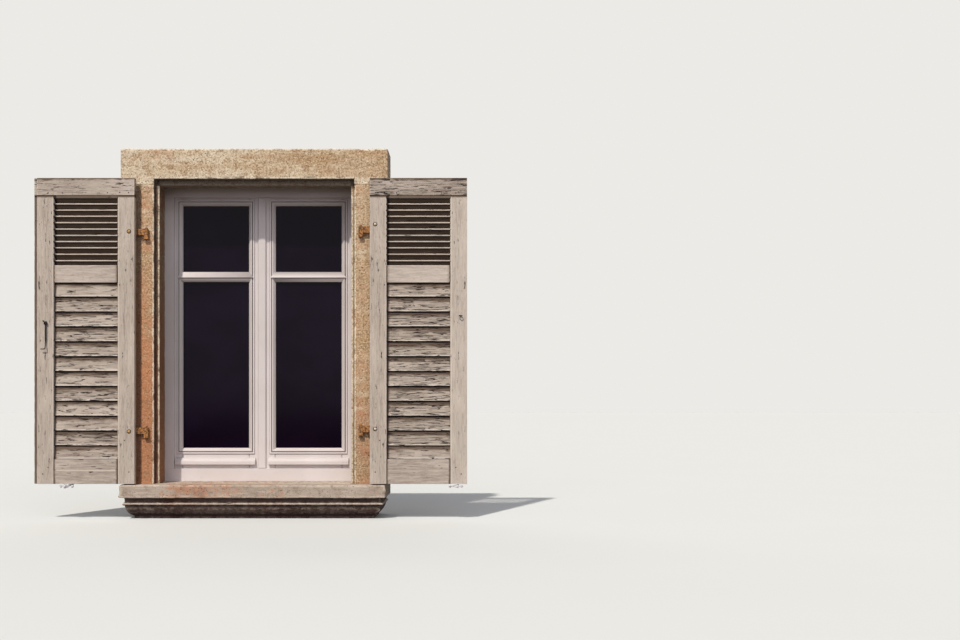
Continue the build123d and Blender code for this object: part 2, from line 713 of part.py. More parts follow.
def make_staple():
    """A wire staple set aslant in the left leaf's meeting stile, its lower leg through the hook's eye."""
    x = LEFT_FREE_EDGE - HOOK_INSET
    z = SILL_TOP + HOOK_HEIGHT
    far_x = x + STAPLE_SPAN * DIAGONAL
    high_z = z + STAPLE_SPAN * DIAGONAL
    out = LEAF_FRONT - STAPLE_STANDOUT
    back = LEAF_FRONT + STAPLE_DEPTH
    points = [(x, back, z), (x, out, z), (far_x, out, high_z), (far_x, back, high_z)]
    route = FilletPolyline(*points, radius=STAPLE_CORNER)
    section = wire_section(STAPLE_WIRE, Plane(origin=points[0], z_dir=(0, -1, 0)))
    return sweep(section, path=route)


def make_screw_eye():
    """A screw eye in the right leaf's meeting stile, its ring lying level."""
    x = RIGHT_FREE_EDGE - EYE_INSET
    z = SILL_TOP + EYE_HEIGHT
    ring_y = LEAF_FRONT - EYE_STEM - EYE_RADIUS
    ring = wire_ring(EYE_RADIUS, EYE_WIRE, x, ring_y, z, (0, 0, 1))
    return ring + rod_y(EYE_SHANK, x, z, ring_y + EYE_RADIUS, LEAF_FRONT + EYE_SCREW)


# Turning catches

def catch_outline():
    """The flat catch with its head up, about its pivot: head, shoulders and pointed tail."""
    neck = CATCH_NECK / 2
    stem = CATCH_STEM / 2
    head = CATCH_HEAD_TOP - CATCH_HEAD_RADIUS
    plate = make_face(Polyline(
        (-neck, head),
        (-neck, CATCH_SHOULDER_RISE + neck),
        (-CATCH_SHOULDER, CATCH_SHOULDER_RISE),
        (-CATCH_SHOULDER, 0),
        (-stem, -CATCH_TAIL),
        (-stem, -CATCH_BALL_DROP),
        (stem, -CATCH_BALL_DROP),
        (stem, -CATCH_TAIL),
        (CATCH_SHOULDER, 0),
        (CATCH_SHOULDER, CATCH_SHOULDER_RISE),
        (neck, CATCH_SHOULDER_RISE + neck),
        (neck, head),
        close=True,
    ))
    return plate + Pos(0, head) * Circle(CATCH_HEAD_RADIUS)


def make_catch(x):
    """A catch turned aside, head away from the window, so that the leaf can pass above it."""
    face = Plane(origin=(x, CATCH_BACK, SPINDLE_Z), x_dir=(0, 0, -1), z_dir=(0, -1, 0))
    plate = extrude(face * catch_outline(), CATCH_THICKNESS, dir=(0, -1, 0))
    middle = (CATCH_BACK + CATCH_FRONT) / 2
    ball_x = x - CATCH_BALL_DROP
    half = CATCH_BALL * sin(radians(CATCH_BALL_FACET))
    ball = rod_x(CATCH_BALL, middle, SPINDLE_Z, ball_x - CATCH_BALL, ball_x + CATCH_BALL)
    ball = chamfer(ball.edges().filter_by(GeomType.CIRCLE), CATCH_BALL - half)
    radius = SPINDLE_RADIUS + SPINDLE_CLEARANCE
    bore = rod_y(radius, x, SPINDLE_Z, CATCH_FRONT - OVERCUT, CATCH_BACK + OVERCUT)
    return plate + ball - bore


def make_spike(x):
    """The spike that carries a catch: a point for the wall, a thinner spindle and a riveted end."""
    spindle = rod_y(SPINDLE_RADIUS, x, SPINDLE_Z, CATCH_FRONT - CATCH_GAP, 0)
    shank = rod_y(SPIKE_RADIUS, x, SPINDLE_Z, 0, SPIKE_DEPTH)
    tip_plane = Plane(origin=(x, SPIKE_DEPTH, SPINDLE_Z), x_dir=(1, 0, 0), z_dir=(0, 1, 0))
    low = (Align.CENTER, Align.CENTER, Align.MIN)
    tip = tip_plane * Cone(SPIKE_RADIUS, SPIKE_BLUNT, SPIKE_POINT, align=low)
    head = dome_y(RIVET_RADIUS, RIVET_HEIGHT, x, CATCH_FRONT - CATCH_GAP, SPINDLE_Z)
    return spindle + shank + tip + head


# Window frame

def frame_section(sight, stop, outer):
    """Section of a frame member: a face that laps the sash and a step behind it."""
    return [
        (sight, FRAME_Y),
        (outer, FRAME_Y),
        (outer, FRAME_BACK),
        (stop, FRAME_BACK),
        (stop, FRAME_STEP),
        (sight, FRAME_STEP),
    ]


def make_frame():
    """Posts, head and bottom rail of the fixed frame; the head and bottom run through."""
    stop_x = SASH_EDGE + SASH_SIDE_GAP
    low_stop = SASH_LOW - SASH_SIDE_GAP
    high_stop = SASH_TOP + SASH_SIDE_GAP
    whole = (-FRAME_HALF_WIDTH, FRAME_HALF_WIDTH)
    head = prism_x([(y, z) for z, y in frame_section(FRAME_HEAD_SIGHT, high_stop, FRAME_TOP)], *whole)
    bottom = prism_x([(y, z) for z, y in frame_section(FRAME_SILL_SIGHT, low_stop, SILL_TOP)], *whole)
    post = prism_z(frame_section(FRAME_SIGHT, stop_x, FRAME_HALF_WIDTH), SILL_TOP, FRAME_TOP)
    post = post - head - bottom
    return head, bottom, post


# Sashes

def make_sash():
    """The right-hand sash: stiles, rails, glazing bar and two panes."""
    inner = SASH_MEETING_GAP
    groove_y = SASH_FRONT + GLASS_SETBACK
    glass_y = (groove_y, groove_y + GLASS_THICKNESS)
    pane_x = (PANE_INNER_EDGE - GLASS_GROOVE, PANE_EDGE + GLASS_GROOVE)
    lower = block(*pane_x, *glass_y, PANE_LOW - GLASS_GROOVE, BAR_LOW + GLASS_GROOVE)
    upper = block(*pane_x, *glass_y, BAR_TOP - GLASS_GROOVE, PANE_TOP + GLASS_GROOVE)
    hinge_stile = prism_z([
        (PANE_EDGE, SASH_FRONT + SASH_BEVEL),
        (PANE_EDGE + SASH_BEVEL, SASH_FRONT),
        (SASH_EDGE, SASH_FRONT),
        (SASH_EDGE, SASH_BACK),
        (PANE_EDGE, SASH_BACK),
    ], SASH_LOW, SASH_TOP)
    meeting_stile = prism_z([
        (inner, SASH_FRONT),
        (PANE_INNER_EDGE - SASH_BEVEL, SASH_FRONT),
        (PANE_INNER_EDGE, SASH_FRONT + SASH_BEVEL),
        (PANE_INNER_EDGE, SASH_BACK),
        (inner, SASH_BACK),
    ], SASH_LOW, SASH_TOP)
    rail_x = (PANE_INNER_EDGE, PANE_EDGE)
    top = prism_x([
        (SASH_FRONT + SASH_BEVEL, PANE_TOP),
        (SASH_FRONT, PANE_TOP + SASH_BEVEL),
        (SASH_FRONT, SASH_TOP),
        (SASH_BACK, SASH_TOP),
        (SASH_BACK, PANE_TOP),
    ], *rail_x)
    bottom = prism_x([
        (SASH_FRONT + SASH_BEVEL, PANE_LOW),
        (SASH_FRONT, PANE_LOW - SASH_BEVEL),
        (SASH_FRONT, SASH_LOW),
        (SASH_BACK, SASH_LOW),
        (SASH_BACK, PANE_LOW),
    ], *rail_x)
    bar = make_glazing_bar()
    return {
        "hinge_stile": hinge_stile - lower - upper,
        "meeting_stile": meeting_stile - lower - upper,
        "top_rail": top - upper,
        "bottom_rail": bottom - lower,
        "glazing_bar": bar - lower - upper,
        "glass_lower": lower,
        "glass_upper": upper,
    }


def make_glazing_bar():
    """The bar between the panes, with a bevelled cap that laps over both stiles."""
    core = block(PANE_INNER_EDGE, PANE_EDGE, SASH_FRONT, SASH_BACK, BAR_LOW, BAR_TOP)
    cap_front = SASH_FRONT - GLAZING_BAR_PROUD
    x0 = PANE_INNER_EDGE - GLAZING_BAR_LAP
    x1 = PANE_EDGE + GLAZING_BAR_LAP
    cap = block(x0, x1, cap_front, SASH_FRONT, BAR_LOW, BAR_TOP)
    front_edges = cap.faces().sort_by(Axis.Y)[0].edges()
    return core + chamfer(front_edges, GLAZING_BEVEL)


def make_weather_bar():
    """The drip moulding on the right-hand sash's bottom rail."""
    low = SASH_LOW + WEATHER_BAR_RISE
    high = low + WEATHER_BAR_HEIGHT
    front = SASH_FRONT - WEATHER_BAR_OUT
    nose = low + WEATHER_BAR_NOSE
    lower = Polyline((SASH_FRONT, high), (SASH_FRONT, low), (front, low), (front, nose))
    curve = ThreePointArc(
        (front, nose),
        (SASH_FRONT - WEATHER_BAR_OUT * DIAGONAL, nose + (high - nose) * DIAGONAL),
        (SASH_FRONT, high),
    )
    x0 = ASTRAGAL_WIDTH / 2 + WEATHER_BAR_END_GAP
    x1 = FRAME_SIGHT - SASH_SIDE_GAP
    section = make_face([Plane.YZ.offset(x0) * lower, Plane.YZ.offset(x0) * curve])
    return extrude(section, x1 - x0, dir=(1, 0, 0))


def make_astragal():
    """The bevelled strip over the meeting joint outside, fixed to the left-hand sash."""
    half = ASTRAGAL_WIDTH / 2
    front = SASH_FRONT - ASTRAGAL_THICKNESS
    plan = [
        (-half, SASH_FRONT),
        (-half, front + ASTRAGAL_BEVEL),
        (-half + ASTRAGAL_BEVEL, front),
        (half - ASTRAGAL_BEVEL, front),
        (half, front + ASTRAGAL_BEVEL),
        (half, SASH_FRONT),
    ]
    return prism_z(plan, FRAME_SILL_SIGHT + ASTRAGAL_END_GAP, FRAME_HEAD_SIGHT - ASTRAGAL_END_GAP)


def make_cover_strip():
    """The strip over the meeting joint inside, fixed to the right-hand sash."""
    half = COVER_WIDTH / 2
    back = SASH_BACK + COVER_THICKNESS
    plan = [
        (-half, SASH_BACK),
        (half, SASH_BACK),
        (half, back - COVER_BEVEL),
        (half - COVER_BEVEL, back),
        (-half + COVER_BEVEL, back),
        (-half, back - COVER_BEVEL),
    ]
    return prism_z(plan, SASH_LOW, SASH_TOP)


# Window hinges and handle

def window_hinge_heights():
    return (SASH_LOW + WINDOW_HINGE_INSET, SASH_TOP - WINDOW_HINGE_INSET)


def make_frame_hinge(z):
    """The half on the frame: a flap, the lower knuckle and the pin."""
    x = WINDOW_HINGE_X
    low = z - WINDOW_HINGE_KNUCKLE
    knuckle = rod_z(WINDOW_HINGE_RADIUS, x, WINDOW_HINGE_Y, low, z)
    plate_y = (FRAME_BACK, FRAME_BACK + WINDOW_HINGE_PLATE)
    flap = block(x, x + WINDOW_HINGE_FLAP, *plate_y, low, z)
    pin = rod_z(WINDOW_HINGE_PIN, x, WINDOW_HINGE_Y, z, z + WINDOW_HINGE_KNUCKLE)
    return knuckle + hinge_web(x, x + WINDOW_HINGE_RADIUS, low, z) + flap + pin


def hinge_web(x0, x1, low, high):
    """The turn of metal between a flap and its knuckle."""
    return block(x0, x1, FRAME_BACK, WINDOW_HINGE_Y, low, high)


def make_sash_hinge(z):
    """The half on the sash: a flap and the upper knuckle, bored for the pin."""
    x = WINDOW_HINGE_X
    low = z + WINDOW_HINGE_GAP
    high = z + WINDOW_HINGE_KNUCKLE + WINDOW_HINGE_GAP
    knuckle = rod_z(WINDOW_HINGE_RADIUS, x, WINDOW_HINGE_Y, low, high)
    inner = x - WINDOW_HINGE_OFFSET
    flap = block(x - WINDOW_HINGE_FLAP, inner, SASH_BACK, SASH_BACK + WINDOW_HINGE_PLATE, low, high)
    back = SASH_BACK + WINDOW_HINGE_CLEAR
    arm = block(inner - WINDOW_HINGE_PLATE, x, back, WINDOW_HINGE_Y, low, high)
    bore = rod_z(WINDOW_HINGE_PIN + PIN_CLEARANCE, x, WINDOW_HINGE_Y, low - OVERCUT, high + OVERCUT)
    return knuckle + flap + arm - bore


def make_handle_plate():
    """The oblong plate and boss that the handle turns in."""
    half = HANDLE_PLATE_WIDTH / 2
    tall = HANDLE_PLATE_HEIGHT / 2
    z = SILL_TOP + HANDLE_HEIGHT
    back = SASH_BACK + HANDLE_PLATE_THICKNESS
    plate = block(HANDLE_X - half, HANDLE_X + half, SASH_BACK, back, z - tall, z + tall)
    plate = fillet(plate.edges().filter_by(Axis.Y), HANDLE_PLATE_CORNER)
    boss = rod_y(HANDLE_BOSS_RADIUS, HANDLE_X, z, back, back + HANDLE_BOSS_HEIGHT)
    bore = rod_y(HANDLE_NECK_RADIUS + HANDLE_FIT, HANDLE_X, z, back, back + HANDLE_BOSS_HEIGHT)
    return plate + boss - bore


def make_handle_lever():
    """The lever, hanging down when the window is fastened."""
    z = SILL_TOP + HANDLE_HEIGHT
    seat = SASH_BACK + HANDLE_PLATE_THICKNESS
    end = seat + HANDLE_NECK_LENGTH
    neck = rod_y(HANDLE_NECK_RADIUS, HANDLE_X, z, seat, end)
    half = HANDLE_LEVER_WIDTH / 2
    grip = block(
        HANDLE_X - half, HANDLE_X + half, end - HANDLE_LEVER_THICKNESS, end, z - HANDLE_LEVER, z + half
    )
    grip = fillet(grip.edges().filter_by(Axis.Y), HANDLE_LEVER_CORNER)
    return neck + grip


# Every piece is written to a file of its own

os.makedirs("parts", exist_ok=True)

pintle_heights = {
    "left": [SILL_TOP + LEFT_UPPER_HINGE, SILL_TOP + LEFT_LOWER_HINGE],
    "right": [SILL_TOP + RIGHT_UPPER_HINGE, SILL_TOP + RIGHT_LOWER_HINGE],
}
bolt_heights = {
    "left": [SILL_TOP + LEFT_UPPER_BOLT, SILL_TOP + LEFT_LOWER_BOLT],
    "right": [SILL_TOP + RIGHT_UPPER_BOLT, SILL_TOP + RIGHT_LOWER_BOLT],
}
leaf_widths = {"left": LEFT_LEAF_WIDTH, "right": RIGHT_LEAF_WIDTH}
catch_places = {"left": LEFT_CATCH_X, "right": RIGHT_CATCH_X}


def on_side(shape, side):
    """The right-hand shape, or its mirror image for the left."""
    return to_left(shape) if side == "left" else shape


save(make_sill(), "sill")
save(make_lintel(), "lintel")
frame_head, frame_bottom, frame_post = make_frame()
save(frame_head, "frame_head")
save(frame_bottom, "frame_bottom_rail")

for side in ("left", "right"):
    heights = pintle_heights[side]
    jamb = make_jamb()
    for z in heights:
        jamb -= make_tang(z)
    save(on_side(jamb, side), f"jamb_{side}")
    save(on_side(frame_post, side), f"frame_post_{side}")
    save(on_side(Compound(children=[make_pintle(z) for z in heights]), side), f"pintles_{side}")

    leaf = make_leaf(leaf_widths[side], side == "left", bolt_heights[side])
    if side == "left":
        leaf["meeting_stile"] -= make_staple()
    else:
        leaf["meeting_stile"] -= make_screw_eye()
    for name, piece in leaf.items():
        save(on_side(piece, side), f"{side}_{name}")
    for name, z, bolt_z in zip(("upper", "lower"), heights, bolt_heights[side]):
        save(on_side(make_hinge(z, bolt_z), side), f"{side}_hinge_{name}")
    fixings = [piece for z in bolt_heights[side] for piece in make_bolt(z)]
    save(on_side(Compound(children=fixings), side), f"{side}_bolts")
    save(on_side(make_catch(catch_places[side]), side), f"{side}_catch")

    for name, piece in make_sash().items():
        save(on_side(piece, side), f"{side}_sash_{name}")
    save(on_side(make_weather_bar(), side), f"{side}_sash_weather_bar")
    sash_hinges = [make_sash_hinge(z) for z in window_hinge_heights()]
    save(on_side(Compound(children=sash_hinges), side), f"{side}_sash_hinges")

save(to_left(make_hook()), "left_hook")
save(to_left(make_staple()), "left_hook_staple")
save(make_screw_eye(), "right_screw_eye")
spikes = [to_left(make_spike(LEFT_CATCH_X)), make_spike(RIGHT_CATCH_X)]
save(Compound(children=spikes), "catch_spikes")
frame_hinges = [make_frame_hinge(z) for z in window_hinge_heights()]
save(Compound(children=frame_hinges + [to_left(hinge) for hinge in frame_hinges]), "frame_hinges")
save(make_astragal(), "astragal")
save(make_cover_strip(), "cover_strip")
save(make_handle_plate(), "handle_plate")
save(make_handle_lever(), "handle_lever")
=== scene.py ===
"""Weathered window shutters with their stone surround and casement window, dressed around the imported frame."""

import json
import math

import bmesh
import bpy
import numpy as np
from bpy.props import FloatProperty, FloatVectorProperty, IntProperty, PointerProperty
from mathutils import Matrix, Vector


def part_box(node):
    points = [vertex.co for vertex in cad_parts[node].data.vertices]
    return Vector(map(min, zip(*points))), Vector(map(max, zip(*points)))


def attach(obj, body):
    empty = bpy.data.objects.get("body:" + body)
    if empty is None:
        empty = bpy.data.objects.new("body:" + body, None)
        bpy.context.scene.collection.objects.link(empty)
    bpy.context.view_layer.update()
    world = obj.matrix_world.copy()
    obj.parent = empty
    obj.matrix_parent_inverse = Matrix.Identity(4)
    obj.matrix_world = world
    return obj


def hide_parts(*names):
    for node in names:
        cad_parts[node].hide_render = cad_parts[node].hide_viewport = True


bl_info = {
    "name": "Window shutters",
    "version": (1, 0, 0),
    "blender": (4, 5, 0),
    "location": "View3D > Sidebar > Shutters",
    "description": "Weathered louvred shutters on a sandstone window",
    "category": "Object",
}

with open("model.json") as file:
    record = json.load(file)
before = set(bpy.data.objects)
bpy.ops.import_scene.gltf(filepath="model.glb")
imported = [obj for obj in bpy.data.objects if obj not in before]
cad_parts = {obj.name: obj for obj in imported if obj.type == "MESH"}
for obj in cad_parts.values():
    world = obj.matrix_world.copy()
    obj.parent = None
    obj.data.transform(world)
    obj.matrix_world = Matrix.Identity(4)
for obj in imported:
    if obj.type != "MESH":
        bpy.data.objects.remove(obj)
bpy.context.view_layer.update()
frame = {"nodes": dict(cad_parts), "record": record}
MM = 0.001
# The way that each side lies from the window's middle
SIDES = {"left": -1, "right": 1}
# Level pieces: along, into the house, and up
LEVEL = ((1, 0, 0), (0, 1, 0), (0, 0, 1))
# Divisions of a rounded corner, distance from it to the first point of a straight run, and step of the wood's runs
CURVE_STEPS = 4
SUPPORT = 0.8 * MM
SECTION_STEP = 9 * MM

# Rebates at the free edges of the leaves: their width, and the room on each side of the half depth
LIP = {"left": 20 * MM, "right": 14 * MM}
REBATE_ROOM = 1 * MM
# Joint in the left leaf's bottom rail, below its top
RAIL_JOINT = 58 * MM
# Rebate of the stones for the closed leaves, and how far the reveal and the soffit behind it are splayed
REBATE_DEPTH = 40 * MM
REBATE_WIDTH = 20 * MM
REBATE_RISE = 30 * MM
REVEAL_SPLAY = 19 * MM
SOFFIT_RISE = 18 * MM
# Heads of the nails and of the carriage bolts
NAIL_RADIUS = 3.6 * MM
BOLT_RADIUS = 8.5 * MM
# Largest error of a slat's height and of a board's lower edge
SLAT_ERROR = 0.7 * MM
BOARD_ERROR = 0.8 * MM
# How far the wear of a member's end and the grime of a tight joint reach
END_REACH = 5 * MM
# Rounding of the window's mouldings
MOULDING_EDGE = 0.5 * MM

# How far each lapped board has cracked, from the lowest up
BOARD_AGES = {
    "left": (0.5, 1.0, 0.6, 0.55, 0.8, 0.6, 0.6, 0.9, 0.9, 0.75, 0.9, 0.45),
    "right": (0.6, 0.9, 0.9, 0.8, 1.0, 0.9, 0.8, 0.9, 0.9, 1.0, 0.9, 0.6),
}
# Bright and dark colour as on the screen, share of bare metal, fineness of the rust
IRONS = {
    "nail_rust": ((62, 46, 38), (34, 26, 24), 0.0, 140.0),
    "left_bolt_rust": ((206, 172, 106), (140, 100, 58), 0.1, 220.0),
    "right_bolt_rust": ((226, 216, 196), (160, 130, 96), 0.1, 220.0),
    "hook_iron": ((40, 32, 32), (20, 15, 17), 0.0, 140.0),
    "catch_zinc": ((222, 222, 224), (172, 170, 168), 0.3, 90.0),
    "handle_metal": ((196, 194, 190), (160, 158, 156), 0.6, 300.0),
}
# Materials made so far, by name
FINISHES = {}


def srgb(red, green, blue):
    """A colour given as it looks on a screen, 0 to 255, as the linear values that shaders take."""
    screen = np.array([red, green, blue]) / 255
    low = screen / 12.92
    high = ((screen + 0.055) / 1.055) ** 2.4
    return tuple(float(c) for c in np.where(screen <= 0.04045, low, high))


# Sizes and colours that a user would change

def length(name, about, default):
    """A setting that is a length."""
    return FloatProperty(name=name, description=about, default=default, unit="LENGTH")


def number(name, about, default):
    """A setting that is a plain number."""
    return FloatProperty(name=name, description=about, default=default)


def angle(name, about, degrees):
    """A setting that is an angle."""
    return FloatProperty(name=name, description=about, default=math.radians(degrees), subtype="ANGLE")


def direction(name, about, run):
    """A setting that is a direction."""
    return FloatVectorProperty(name=name, description=about, size=3, subtype="DIRECTION", default=run)


def paint(name, about, *screen):
    """A setting that is a colour."""
    return FloatVectorProperty(name=name, description=about, size=3, subtype="COLOR", default=srgb(*screen))


class ShutterSizes(bpy.types.PropertyGroup):
    """Sizes of the wooden infill and its wear."""

    board_pitch: length("Board pitch", "Height that each lapped board shows", 77.5 * MM)
    first_board: length("First board", "Height that the lowest board shows", 70 * MM)
    board_lap: length("Board lap", "How far a board runs up behind the next", 10 * MM)
    board_step: length("Board step", "How far a board's lower edge stands out", 9 * MM)
    board_setback: length("Board setback", "Lower edges behind the leaf's face", 4 * MM)
    board_thickness: length("Board thickness", "Thickness of the lapped boards", 8 * MM)
    slat_pitch: length("Slat pitch", "Height from one louvre slat to the next", 32.8 * MM)
    slat_thickness: length("Slat thickness", "Thickness of the louvre slats", 8 * MM)
    slat_tilt: angle("Slat tilt", "Slope of the louvre slats", 38)
    slat_top_gap: length("Top slat gap", "Room between the top rail and the first slat", 5 * MM)
    slat_count: IntProperty(name="Slats", description="Louvre slats in each leaf", default=11, min=1)
    bead: length("Bead", "Bevel along the panel side of the stiles", 5 * MM)
    arris: length("Arris", "How far the edges of the wood are rounded", 2.5 * MM)
    wear: length("Wear", "Depth that the weather has taken off the wood", 0.7 * MM)


class StoneSizes(bpy.types.PropertyGroup):
    """Sizes of the dressed stones and their wear."""

    arris: length("Arris", "How far the edges of the stones are rounded", 5 * MM)
    chip: length("Chips", "Depth of the broken places along the edges", 7 * MM)
    tooling: length("Tooling", "Unevenness of the dressed faces", 1.6 * MM)
    step: length("Step", "Distance between the points of a face", 7 * MM)


class WindowSizes(bpy.types.PropertyGroup):
    """Rounding of the window's painted edges."""

    arris: length("Arris", "Rounding of the painted edges", 1.5 * MM)


class StageSizes(bpy.types.PropertyGroup):
    """Camera, lamps and ground."""

    distance: length("Distance", "Camera to the face of the stone", 7.0)
    sideways: length("Sideways", "Camera to the right of the window's middle", 1.186)
    eye_height: length("Eye height", "Camera above the sill's bed", 0.621)
    horizon_drop: number("Horizon drop", "Horizon below the picture's middle, in picture widths", 80 / 960)
    lamp: number("Lamp", "Strength of the key lamp", 2.85)
    lamp_run: direction("Lamp direction", "Way that the key lamp shines", (0.36, 1.0, -1.18))
    lamp_width: angle("Lamp width", "Angle that the key lamp fills", 1.5)
    fill: number("Fill", "Strength of the light from all round", 0.20)
    front: number("Front light", "Strength of the soft light from the front", 1.30)
    front_run: direction("Front light direction", "Way that the soft light shines", (-0.15, 1.0, -0.30))
    soft_width: angle("Soft light width", "Angle that each soft light fills", 70)
    rear: number("Rear light", "Strength of the soft light from the room side", 0.9)
    rear_run: direction("Rear light direction", "Way that the rear light shines", (0.25, -1.0, -0.35))


class FinishColours(bpy.types.PropertyGroup):
    """Colours of the main finishes."""

    shutter: paint("Shutters", "Weathered paint of the leaves", 186, 175, 161)
    window: paint("Window", "Paint of the window", 212, 204, 201)
    stone: paint("Stone", "Sandstone of the surround", 200, 175, 142)
    sill: paint("Sill", "Weathered face of the sill", 190, 176, 160)
    rust: paint("Rust", "Rust on the pintles and hinges", 180, 126, 70)


# Noise on arrays of points

def lattice_value(cell, seed):
    """A fixed number from 0 to 1 for each whole-number cell: the fraction of a large sine."""
    mixed = np.sin(cell @ np.array([127.1, 311.7, 74.7]) + seed * 53.3) * 43758.5453
    return mixed - np.floor(mixed)


def drift(points, size, seed):
    """Smooth noise from -1 to 1: lattice numbers a size apart, blended by 3t^2 - 2t^3 along each axis."""
    scaled = points / size
    cell = np.floor(scaled)
    t = scaled - cell
    t = t * t * (3 - 2 * t)
    total = np.zeros(points.shape[:-1])
    for corner in np.ndindex(2, 2, 2):
        weight = np.prod(np.where(corner, t, 1 - t), axis=-1)
        total += weight * lattice_value(cell + corner, seed)
    return 2 * total - 1


def layered(points, size, seed, layers=3):
    """Noise summed over layers, each half as large and half as strong as the one before."""
    strengths = 0.5 ** np.arange(layers)
    waves = [k * drift(points, size * k, seed + i) for i, k in enumerate(strengths)]
    return sum(waves) / strengths.sum()


def ramp(value, low, high):
    """0 below low, 1 above high, and 3t^2 - 2t^3 between."""
    t = np.clip((value - low) / (high - low), 0, 1)
    return t * t * (3 - 2 * t)


# Surfaces

def unit(vectors):
    """Vectors brought to a length of 1."""
    return vectors / (np.linalg.norm(vectors, axis=1, keepdims=True) + 1e-12)


def chart(places, girth):
    """The grain map of a grid: its places along the grain, and its girth across it."""
    return np.stack(np.meshgrid(places, girth, indexing="ij"), axis=-1)


class Outline:
    """A closed section with softened corners.

    Each corner is cut back along both sides by its radius, and a quadratic curve
    (1-t)^2 A + 2t(1-t) C + t^2 B joins the cuts. Straight runs are divided at the spacing.
    Wear is 1 at a corner that stands out and falls to 0 at the reach.
    """

    def __init__(self, corners, radii, spacing, reach=6 * MM):
        corners = np.array(corners, float)
        turn = corners[:, 0] * np.roll(corners[:, 1], -1) - np.roll(corners[:, 0], -1) * corners[:, 1]
        radii = np.broadcast_to(np.array(radii, float), len(corners))
        if turn.sum() < 0:
            corners = corners[::-1]
            radii = radii[::-1]
        before = np.roll(corners, 1, axis=0) - corners
        after = np.roll(corners, -1, axis=0) - corners
        before_length = np.linalg.norm(before, axis=1, keepdims=True)
        after_length = np.linalg.norm(after, axis=1, keepdims=True)
        first = corners + before * radii[:, None] / before_length
        last = corners + after * radii[:, None] / after_length
        t = np.linspace(0, 1, CURVE_STEPS + 1)[:, None]
        stretches = []
        for i, corner in enumerate(corners):
            curve = (1 - t) ** 2 * first[i] + 2 * t * (1 - t) * corner + t ** 2 * last[i]
            stretches.append(curve if radii[i] > 0 else corner[None])
            end = first[(i + 1) % len(corners)]
            run = np.linalg.norm(end - last[i])
            if run > 2.5 * SUPPORT:
                inner = np.linspace(SUPPORT, run - SUPPORT, max(2, int(run / spacing) + 1)) / run
                stretches.append(last[i] + inner[:, None] * (end - last[i]))
        self.points = np.concatenate(stretches)
        ahead = unit(np.roll(self.points, -1, axis=0) - self.points)
        behind = unit(self.points - np.roll(self.points, 1, axis=0))
        along = unit(ahead + behind)
        self.normals = np.stack([along[:, 1], -along[:, 0]], axis=1)
        steps = np.linalg.norm(np.diff(self.points, axis=0, append=self.points[:1]), axis=1)
        self.girth = np.concatenate([[0], np.cumsum(steps)])
        convex = (after[:, 0] * before[:, 1] - after[:, 1] * before[:, 0]) > 0
        sharp = corners[convex]
        gap = np.linalg.norm(self.points[:, None] - sharp[None], axis=2).min(axis=1)
        self.worn = np.clip(1 - gap / reach, 0, 1)


class Surface:
    """Grids of points gathered into one mesh with its grain map and its wear."""

    def __init__(self):
        self.points = []
        self.faces = []
        self.maps = []
        self.flat = []
        # One field holds grime and dark joints together with painted shade in recesses and under parts, up to 1.5,
        # and below 0 painted highlights on sunlit noses and edges
        self.fields = {"worn": [], "dirt": [], "tone": [], "age": []}
        self.count = 0

    def add(self, grid, grain, worn=0.0, dirt=0.0, tone=0.0, age=0.0, ring=True, caps=True):
        """A grid of rows and columns. A ring closes across its columns, and caps close its two ends."""
        rows, columns = grid.shape[:2]
        row, column = np.mgrid[0:rows - 1, 0:columns if ring else columns - 1]
        here = self.count + row * columns + column
        beside = self.count + row * columns + (column + 1) % columns
        quads = np.stack([here, beside, beside + columns, here + columns], axis=-1).reshape(-1, 4)
        spots = np.stack([
            grain[row, column], grain[row, column + 1], grain[row + 1, column + 1], grain[row + 1, column]
        ], axis=2).reshape(-1, 2)
        self.faces += quads.tolist()
        self.flat += [False] * len(quads)
        self.maps.append(spots)
        if caps:
            round_once = np.arange(columns)
            for at, members in ((0, round_once[::-1]), (rows - 1, round_once)):
                self.faces.append((members + at * columns + self.count).tolist())
                self.flat.append(True)
                self.maps.append(grain[at, members])
        self.points.append(grid.reshape(-1, 3))
        for name, value in (("worn", worn), ("dirt", dirt), ("tone", tone), ("age", age)):
            self.fields[name].append(np.broadcast_to(value, (rows, columns)).reshape(-1))
        self.count += rows * columns

    def build(self, name, material, body, replaced=()):
        """Puts the gathered grids into one piece that rides on a body."""
        mesh = bpy.data.meshes.new(name)
        mesh.from_pydata(np.concatenate(self.points).tolist(), [], self.faces)
        mesh.polygons.foreach_set("use_smooth", [not f for f in self.flat])
        layer = mesh.uv_layers.new(name="grain")
        layer.data.foreach_set("uv", np.concatenate(self.maps).reshape(-1).astype(np.float32))
        for field, values in self.fields.items():
            attribute = mesh.attributes.new(field, "FLOAT", "POINT")
            attribute.data.foreach_set("value", np.concatenate(values).astype(np.float32))
        mesh.materials.append(material)
        mesh.update()
        # Points where the grid closes are joined, and every face looks outward
        shell = bmesh.new()
        shell.from_mesh(mesh)
        bmesh.ops.remove_doubles(shell, verts=shell.verts, dist=0.001 * MM)
        bmesh.ops.recalc_face_normals(shell, faces=shell.faces)
        shell.to_mesh(mesh)
        shell.free()
        piece = bpy.data.objects.new(name, mesh)
        bpy.context.scene.collection.objects.link(piece)
        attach(piece, body)
        if replaced:
            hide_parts(*replaced)
        return piece


def stations(start, end, step, rounding):
    """Places along a piece, closer at its rounded ends, and how far the section shrinks at each."""
    near = rounding * np.array([0, 0.15, 0.5, 1.0])
    middle = np.linspace(start + rounding, end - rounding, max(2, int((end - start) / step) + 1))
    places = np.concatenate([start + near[:-1], middle, (end - near[:-1])[::-1]])
    gap = np.clip(1 - np.minimum(places - start, end - places) / max(rounding, 1e-9), 0, 1)
    shrink = rounding * (1 - np.sqrt(np.clip(1 - gap ** 2, 0, 1)))
    return places, shrink


